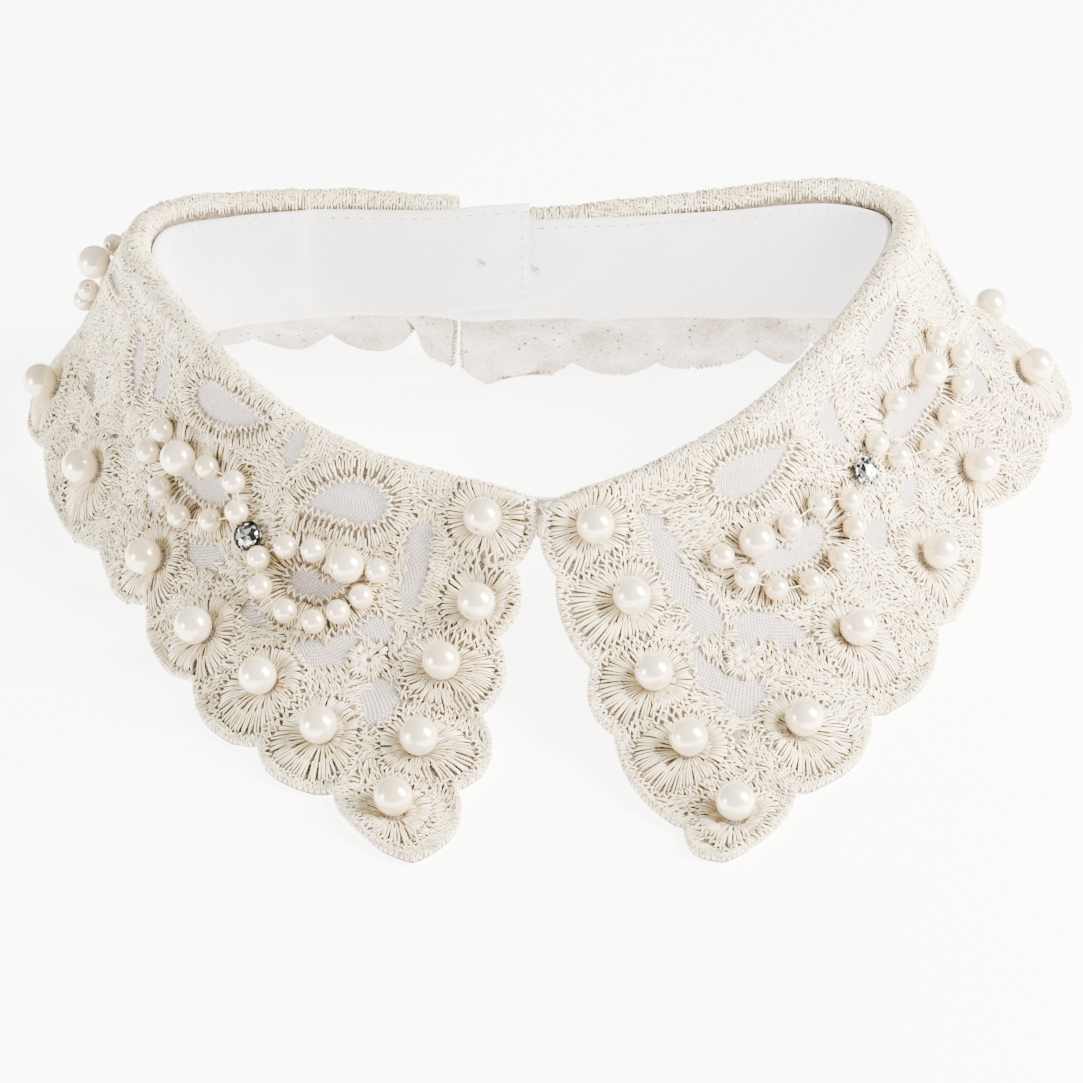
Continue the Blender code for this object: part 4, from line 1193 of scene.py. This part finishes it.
def rhinestone(wing, bow, metal, crystal):
    """A faceted stone in a silver cup with claws. A stone that faces the front leans forward."""
    foot, out = wing.seat(bow.stone, GAP)
    if out @ TOWARD_CAMERA > 0:
        foot, out = foot + 0.4 * out, unit(out + 0.45 * TOWARD_CAMERA)
    helper = np.array([0.0, 0.0, 1.0]) if abs(out[2]) < 0.9 else np.array([1.0, 0.0, 0.0])
    first = unit(np.cross(helper, out))
    second = np.cross(out, first)
    half = STONE_WIDENED * STONE / 2

    def ray(angle):
        return math.cos(angle) * first + math.sin(angle) * second

    def ring_at(height, radius, count, offset=0.0):
        lon = 2 * math.pi * (np.arange(count) + offset) / count
        return [foot + out * height + radius * ray(angle) for angle in lon]

    points = []
    for height, share in CUP_PROFILE:
        points += ring_at(height, half * share, CUP_SIDES)
    faces = [tuple(quad) for quad in ring_quads(len(CUP_PROFILE), CUP_SIDES)]
    faces.append(tuple(range(CUP_SIDES))[::-1])
    faces.append(tuple(range(len(points) - CUP_SIDES, len(points))))
    for claw in range(CLAWS):
        mid = 2 * math.pi * claw / CLAWS
        base = len(points)
        for height, share, wide in CLAW_PROFILE:
            for sign in (-1, 1):
                for depth in (0.0, -0.1):
                    reach = half * (share + depth)
                    points.append(foot + out * height + reach * ray(mid + sign * wide))
        for k in (0, 4):
            a = base + k
            faces += [(a, a + 2, a + 6, a + 4), (a + 1, a + 5, a + 7, a + 3),
                      (a, a + 4, a + 5, a + 1), (a + 2, a + 3, a + 7, a + 6)]
        faces += [(base, base + 1, base + 3, base + 2), (base + 8, base + 10, base + 11, base + 9)]
    name = f"stone_{wing.side}_{bow.name}"
    cup = new_object(name + "_cup", points, faces, [metal], sharp=35.0)

    points = [foot + out * 0.7]
    points += ring_at(2.0, half * 0.94, 16) + ring_at(2.25, half * 0.94, 16)
    points += ring_at(2.85, half * 0.76, 8, 0.5) + ring_at(STONE_HEIGHT, half * 0.46, 8)
    faces = []
    for j in range(16):
        n = (j + 1) % 16
        faces.append((0, 1 + n, 1 + j))
        faces.append((1 + j, 1 + n, 17 + n, 17 + j))
    for j in range(8):
        n = (j + 1) % 8
        crown, table = 33 + j, 41 + j
        faces.append((17 + 2 * j, 17 + 2 * j + 1, crown))
        faces.append((17 + 2 * j + 1, 17 + (2 * j + 2) % 16, crown))
        faces.append((17 + (2 * j + 2) % 16, 33 + n, 41 + n, crown))
        faces.append((table, crown, 41 + n))
    points.append(foot + out * (STONE_HEIGHT - 0.05) + 0.3 * first)
    faces += [(41 + j, 41 + (j + 1) % 8, 49) for j in range(8)]
    stone = new_object(name + "_crystal", points, faces, [crystal], sharp=1.0)
    # Painted reflection: each facet of the crystal gets a random brightness from black to silver.
    tones = np.random.default_rng(5).uniform(0, 1, len(faces)).astype(np.float32)
    stone.data.attributes.new("facet", "FLOAT", "FACE").data.foreach_set("value", tones)
    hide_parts(name)


# A snap half's stations: the height and the share of its radius
SNAP_PROFILE = ((0.0, 0.3), (0.0, 0.9), (0.12, 1.0), (0.4, 1.0), (0.52, 0.9), (0.4, 0.7),
                (0.4, 0.45), (0.54, 0.38), (0.54, 0.3))
SNAP_SIDES = 48


def snap_halves(materials):
    """The two halves of the sewn snap between the lapped ends of the band."""
    x, z = SNAP_PLACE
    face = BAND_LEFT_END[1].y + BAND / 2 + GAP
    lon = whole_turn(SNAP_SIDES)
    ray = np.stack([np.cos(lon), 0 * lon, np.sin(lon)], axis=1)
    out = np.array([0.0, 1.0, 0.0])
    quads = ring_quads(len(SNAP_PROFILE), SNAP_SIDES, closed=True)
    for name, y in (("snap_socket", face), ("snap_stud", face + SNAP_HALF + GAP)):
        middle = np.array([x, y, z])
        points = np.concatenate([middle + out * h + ray * r * SNAP / 2 for h, r in SNAP_PROFILE])
        piece = new_object(name + "_disc", points, quads, materials, sharp=40.0)
        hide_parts(name)


def shader(name, settings):
    """A new material with these settings on its Principled shader."""
    material = bpy.data.materials.new(name)
    material.use_nodes = True
    principled = material.node_tree.nodes["Principled BSDF"]
    for key, value in settings.items():
        principled.inputs[key].default_value = value
    return material, material.node_tree, principled


def add_node(tree, kind, settings=None, inputs=None):
    made = tree.nodes.new(kind)
    for key, value in (settings or {}).items():
        setattr(made, key, value)
    for key, value in (inputs or {}).items():
        if isinstance(value, bpy.types.NodeSocket):
            tree.links.new(value, made.inputs[key])
        else:
            made.inputs[key].default_value = value
    return made


def ramp(tree, factor, stops):
    made = add_node(tree, "ShaderNodeValToRGB", inputs={"Fac": factor})
    made.color_ramp.elements[0].position = stops[0][0]
    made.color_ramp.elements[0].color = (*stops[0][1], 1)
    made.color_ramp.elements[1].position = stops[-1][0]
    made.color_ramp.elements[1].color = (*stops[-1][1], 1)
    for place, colour in stops[1:-1]:
        made.color_ramp.elements.new(place).color = (*colour, 1)
    return made.outputs["Color"]


def maths(tree, operation, first, second=None):
    inputs = {0: first}
    if second is not None:
        inputs[1] = second
    return add_node(tree, "ShaderNodeMath", {"operation": operation}, inputs).outputs[0]


def weighed(tree, *parts):
    """The sum of these values, each times its weight."""
    total, *others = (maths(tree, "MULTIPLY", value, weight) for value, weight in parts)
    for part in others:
        total = maths(tree, "ADD", total, part)
    return total


def noise(tree, vector, scale, detail=3.0, roughness=0.6):
    return add_node(tree, "ShaderNodeTexNoise", inputs={
        "Vector": vector, "Scale": scale, "Detail": detail, "Roughness": roughness}).outputs["Fac"]


def bump(tree, height, strength, distance, principled):
    made = add_node(tree, "ShaderNodeBump", inputs={
        "Height": height, "Strength": strength, "Distance": distance})
    tree.links.new(made.outputs["Normal"], principled.inputs["Normal"])


def object_place(tree):
    return add_node(tree, "ShaderNodeTexCoord").outputs["Object"]


def named_value(tree, name, output="Fac"):
    return add_node(tree, "ShaderNodeAttribute", {"attribute_name": name}).outputs[output]


def clouded(name, settings, scale, detail, stops):
    """A material whose colour runs through these stops with a fine noise."""
    material, tree, principled = shader(name, settings)
    colour = ramp(tree, noise(tree, object_place(tree), scale, detail), stops)
    tree.links.new(colour, principled.inputs["Base Color"])
    return material


def weave_height(tree, pitch):
    """Over and under threads of a plain weave, from the cloth's own measure in millimetres."""
    cloth = named_value(tree, "cloth", "Vector")
    axes = add_node(tree, "ShaderNodeSeparateXYZ", inputs={"Vector": cloth})
    wave = 2 * math.pi / pitch
    across = maths(tree, "SINE", maths(tree, "MULTIPLY", axes.outputs[0], wave))
    down = maths(tree, "SINE", maths(tree, "MULTIPLY", axes.outputs[1], wave))
    return maths(tree, "MULTIPLY", across, down)


def cotton_material(name, colour, dark, pitch, depth):
    """Woven cotton, with its node tree, its shader and its colour for further use."""
    material, tree, principled = shader(name, {
        "Roughness": 0.85, "Sheen Weight": 0.25, "Sheen Roughness": 0.5})
    height = weave_height(tree, pitch)
    place = object_place(tree)
    slub = noise(tree, place, 900.0, 2.0)
    cloud = noise(tree, place, 60.0, 3.0)
    # The colour follows the weave's height, darker where a thread dips under the next: painted
    # shade in the weave, together with the slub's and the cloud's own random tone.
    mixed = weighed(tree, (height, 0.36), (slub, 0.5))
    tone = maths(tree, "ADD", mixed, maths(tree, "MULTIPLY", cloud, 0.3))
    woven = ramp(tree, tone, ((0.1, dark), (0.75, colour)))
    tree.links.new(woven, principled.inputs["Base Color"])
    bump(tree, mixed, 0.6, depth, principled)
    return material, tree, principled, woven


def ground_material():
    """The wing's white cotton where it is bare, and dark brown painted shade where stitches cover
    it, which shows in the gaps between the threads.
    """
    material, tree, principled, woven = cotton_material(
        "white cotton ground", (0.71, 0.635, 0.60), (0.31, 0.26, 0.24), 0.9, 0.0006)
    # Painted shade: under the stitches the ground is dark brown, for the shade in the gaps between
    # the threads.
    under = noise(tree, object_place(tree), 1500.0, 3.0)
    gap_shade = ramp(tree, under, ((0.35, (0.11, 0.08, 0.05)), (0.65, (0.33, 0.265, 0.18))))
    bare = named_value(tree, "bare")
    mixed = add_node(tree, "ShaderNodeMix", {"data_type": "RGBA"}, {0: bare, 6: gap_shade, 7: woven})
    tree.links.new(mixed.outputs[2], principled.inputs["Base Color"])
    return material


def backing_material():
    """The wing's underside: felt-like backing with the needle's dots, painted near black as shade
    in their pits.
    """
    material, tree, principled = shader("embroidery backing", {
        "Roughness": 0.95, "Sheen Weight": 0.35, "Sheen Roughness": 0.6})
    place = object_place(tree)
    fibre = noise(tree, place, 1300.0, 4.0, 0.7)
    cloud = noise(tree, place, 85.0, 3.0)
    dots = add_node(tree, "ShaderNodeTexVoronoi", {"feature": "F1"}, {
        "Vector": place, "Scale": 420.0, "Randomness": 1.0})
    # Painted shade: scattered needle pits are coloured near black.
    pick = maths(tree, "GREATER_THAN", noise(tree, place, 130.0, 1.0), 0.44)
    pit = maths(tree, "LESS_THAN", dots.outputs["Distance"], 0.16)
    pit = maths(tree, "MULTIPLY", pit, pick)
    tone = weighed(tree, (fibre, 0.5), (cloud, 0.5))
    colour = ramp(tree, tone, ((0.36, (0.24, 0.18, 0.13)), (0.62, (0.71, 0.62, 0.52))))
    mixed = add_node(tree, "ShaderNodeMix", {"data_type": "RGBA"}, {0: pit, 6: colour})
    mixed.inputs[7].default_value = (0.06, 0.05, 0.045, 1)
    tree.links.new(mixed.outputs[2], principled.inputs["Base Color"])
    height = maths(tree, "SUBTRACT", fibre, maths(tree, "MULTIPLY", pit, 0.8))
    bump(tree, height, 0.5, 0.0003, principled)
    return material


def thread_material():
    """Silky cream embroidery thread; its tone is a value on each stitch, random and lowered by
    painted shade near beads and at the threads' sides.
    """
    material, tree, principled = shader("cream embroidery thread", {
        "Roughness": 0.48, "Sheen Weight": 0.2, "Sheen Roughness": 0.4,
        "Subsurface Weight": 0.12, "Subsurface Scale": 0.0008})
    place = object_place(tree)
    fine = noise(tree, place, 2600.0, 2.0)
    cloud = noise(tree, place, 45.0, 2.0)
    tone = named_value(tree, "tone")
    for uneven, weight in ((cloud, 0.35), (fine, 0.25)):
        swing = maths(tree, "MULTIPLY", maths(tree, "SUBTRACT", uneven, 0.5), weight)
        tone = maths(tree, "ADD", tone, swing)
    colour = ramp(tree, tone, ((0.0, (0.19, 0.125, 0.06)), (0.32, (0.52, 0.405, 0.23)),
                               (0.6, (0.86, 0.745, 0.485)), (0.86, (0.98, 0.905, 0.68))))
    tree.links.new(colour, principled.inputs["Base Color"])
    bump(tree, fine, 0.35, 0.00012, principled)
    return material


def pearl_material():
    """A cream coating, glossy over a soft shine, that is yellower at a pearl's rim."""
    material, tree, principled = shader("cream pearl coating", {
        "Metallic": 0.38, "Roughness": 0.24, "IOR": 1.6, "Coat Weight": 1.0, "Coat Roughness": 0.04,
        "Sheen Weight": 0.9, "Sheen Roughness": 0.25, "Sheen Tint": (1.0, 0.80, 0.40, 1.0)})
    place = object_place(tree)
    cloud = noise(tree, place, 260.0, 2.0)
    tone = weighed(tree, (named_value(tree, "tone"), 0.5), (cloud, 0.5))
    colour = ramp(tree, tone, ((0.2, (0.80, 0.665, 0.44)), (0.8, (0.87, 0.765, 0.56))))
    tree.links.new(colour, principled.inputs["Base Color"])
    bump(tree, noise(tree, place, 1100.0, 2.0), 0.03, 0.0002, principled)
    return material


def crystal_material():
    """Foil-backed cut glass: each facet is painted its own brightness, from black to silver, as
    painted reflection of the light and dark that a cut stone shows.
    """
    material, tree, principled = shader("cut glass", {
        "Metallic": 0.85, "Roughness": 0.04, "Coat Weight": 1.0, "Coat Roughness": 0.0, "IOR": 1.6})
    colour = ramp(tree, named_value(tree, "facet"), (
        (0.0, (0.008, 0.008, 0.008)), (0.34, (0.03, 0.03, 0.03)), (0.42, (0.40, 0.40, 0.40)),
        (1.0, (0.92, 0.92, 0.91))))
    tree.links.new(colour, principled.inputs["Base Color"])
    return material


# The camera stands where the photograph was taken from: its distance, its height as an angle, and
# the point it looks at.
CAMERA_DISTANCE = 800.0
CAMERA_RISE = 35.0
CAMERA_TARGET = np.array([0.0, 92.0, 22.0])
CAMERA_LENS = 125.0
# Each light's name, place, width, height and power. They give the two highlights on every pearl.
LIGHTS = (
    ("key softbox", (0.80, -0.24, 0.58), 0.50, 0.75, 84.0),
    ("fill softbox", (-0.90, -0.45, 0.20), 0.36, 0.36, 14.0),
)
LAMP_COLOUR = (1.0, 0.955, 0.88)
# The room is white all round, and darker where the photographer stands.
WORLD_SHADES = ((0.50, (1.0, 1.0, 1.0)), (0.85, (0.34, 0.32, 0.32)))
WORLD_STRENGTH = 1.12
FLOOR_GLOW = 5.6


def studio():
    """The camera, the pale floor, the two softboxes and the room round them."""
    rise = math.radians(CAMERA_RISE)
    back = np.array([0.0, -math.cos(rise), math.sin(rise)])
    place = (CAMERA_TARGET + CAMERA_DISTANCE * back - CENTRE) * MM
    data = bpy.data.cameras.new("camera")
    data.lens = CAMERA_LENS
    data.sensor_width = 36.0
    data.clip_start, data.clip_end = 0.01, 20.0
    camera = bpy.data.objects.new("camera", data)
    camera.location = place
    camera.rotation_euler = (math.radians(90.0 - CAMERA_RISE), 0.0, 0.0)
    bpy.context.collection.objects.link(camera)
    bpy.context.scene.camera = camera

    bpy.ops.mesh.primitive_plane_add(size=6.0, location=(0, 0, -0.0002))
    floor = bpy.context.object
    floor.name = "floor"
    floor.data.materials.append(clouded("pale floor", {
        "Roughness": 0.9, "Emission Color": (1.0, 1.0, 1.0, 1.0), "Emission Strength": FLOOR_GLOW,
    }, 6.0, 2.0, ((0.3, (0.93, 0.93, 0.93)), (0.7, (0.95, 0.95, 0.95)))))

    for name, place, width, height, power in LIGHTS:
        lamp = bpy.data.lights.new(name, "AREA")
        lamp.shape = "RECTANGLE"
        lamp.size, lamp.size_y, lamp.energy = width, height, power
        lamp.color = LAMP_COLOUR
        light = bpy.data.objects.new(name, lamp)
        light.location = place
        aim = np.array([0.0, 0.0, 0.03]) - np.array(place)
        light.rotation_euler = Vector(aim).to_track_quat("-Z", "Y").to_euler()
        bpy.context.collection.objects.link(light)
    world = bpy.data.worlds.new("studio")
    world.use_nodes = True
    tree = world.node_tree
    way = add_node(tree, "ShaderNodeTexCoord").outputs["Generated"]
    toward = add_node(tree, "ShaderNodeVectorMath", {"operation": "DOT_PRODUCT"}, {0: way})
    toward.inputs[1].default_value = back
    sky = ramp(tree, toward.outputs["Value"], WORLD_SHADES)
    background = tree.nodes["Background"]
    tree.links.new(sky, background.inputs["Color"])
    background.inputs["Strength"].default_value = WORLD_STRENGTH
    bpy.context.scene.world = world


def main():
    thread = thread_material()
    ground, backing = ground_material(), backing_material()
    band_cotton = cotton_material("white band cotton", (0.95, 0.95, 0.95), (0.66, 0.66, 0.67), 0.5,
                                  0.0003)[0]
    pearl, crystal = pearl_material(), crystal_material()
    # Painted dark reflection: the cup's metal is near black, far darker than silver, for the dark
    # lines its edges show.
    metal = clouded("silver cup", {"Metallic": 1.0, "Roughness": 0.18}, 900.0, 3.0,
                    ((0.38, (0.012, 0.012, 0.012)), (0.62, (0.16, 0.155, 0.15))))
    machine_thread = clouded("band stitching thread", {"Roughness": 0.7}, 700.0, 2.0,
                             ((0.35, (0.24, 0.23, 0.22)), (0.6, (0.52, 0.51, 0.50))))
    needle_hole = clouded("shaded needle hole", {"Roughness": 0.7}, 700.0, 2.0,
                          ((0.35, (0.10, 0.08, 0.06)), (0.6, (0.30, 0.26, 0.22))))
    plastic = clouded("clear snap plastic", {
        "Roughness": 0.25, "Transmission Weight": 0.5, "IOR": 1.49,
    }, 300.0, 2.0, ((0.3, (0.84, 0.84, 0.83)), (0.7, (0.92, 0.92, 0.92))))
    wings = []
    for side, ribs, front, pearls, bows, motifs in (
        ("left", LEFT_RIBS, LEFT_FRONT, LEFT_PEARLS, LEFT_BOWS,
         (LEFT_PAISLEYS, LEFT_PATCHES, LEFT_ROSETTES, LEFT_COLUMN)),
        ("right", RIGHT_RIBS, RIGHT_FRONT, RIGHT_PEARLS, RIGHT_BOWS,
         (RIGHT_PAISLEYS, RIGHT_PATCHES, RIGHT_ROSETTES, RIGHT_COLUMN)),
    ):
        wing = Wing(side, ribs, front, pearls, bows)
        wings.append(wing)
        places = pearls_of(wing, [pearl], [thread])
        work = embroider(wing, *motifs)
        stitches = work.make([thread], tuple(zip(*places)))
        cloth = wing_cloth(wing, work.bare, [ground, backing])
        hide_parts(f"wing_{side}")
        for bow in wing.bows:
            rhinestone(wing, bow, metal, crystal)
    band, hem, numbers = neck_band(*wings, [band_cotton])
    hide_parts("neck_band")
    stitching = band_stitching(numbers, [machine_thread, needle_hole])
    snap_halves([plastic])
    studio()


main()
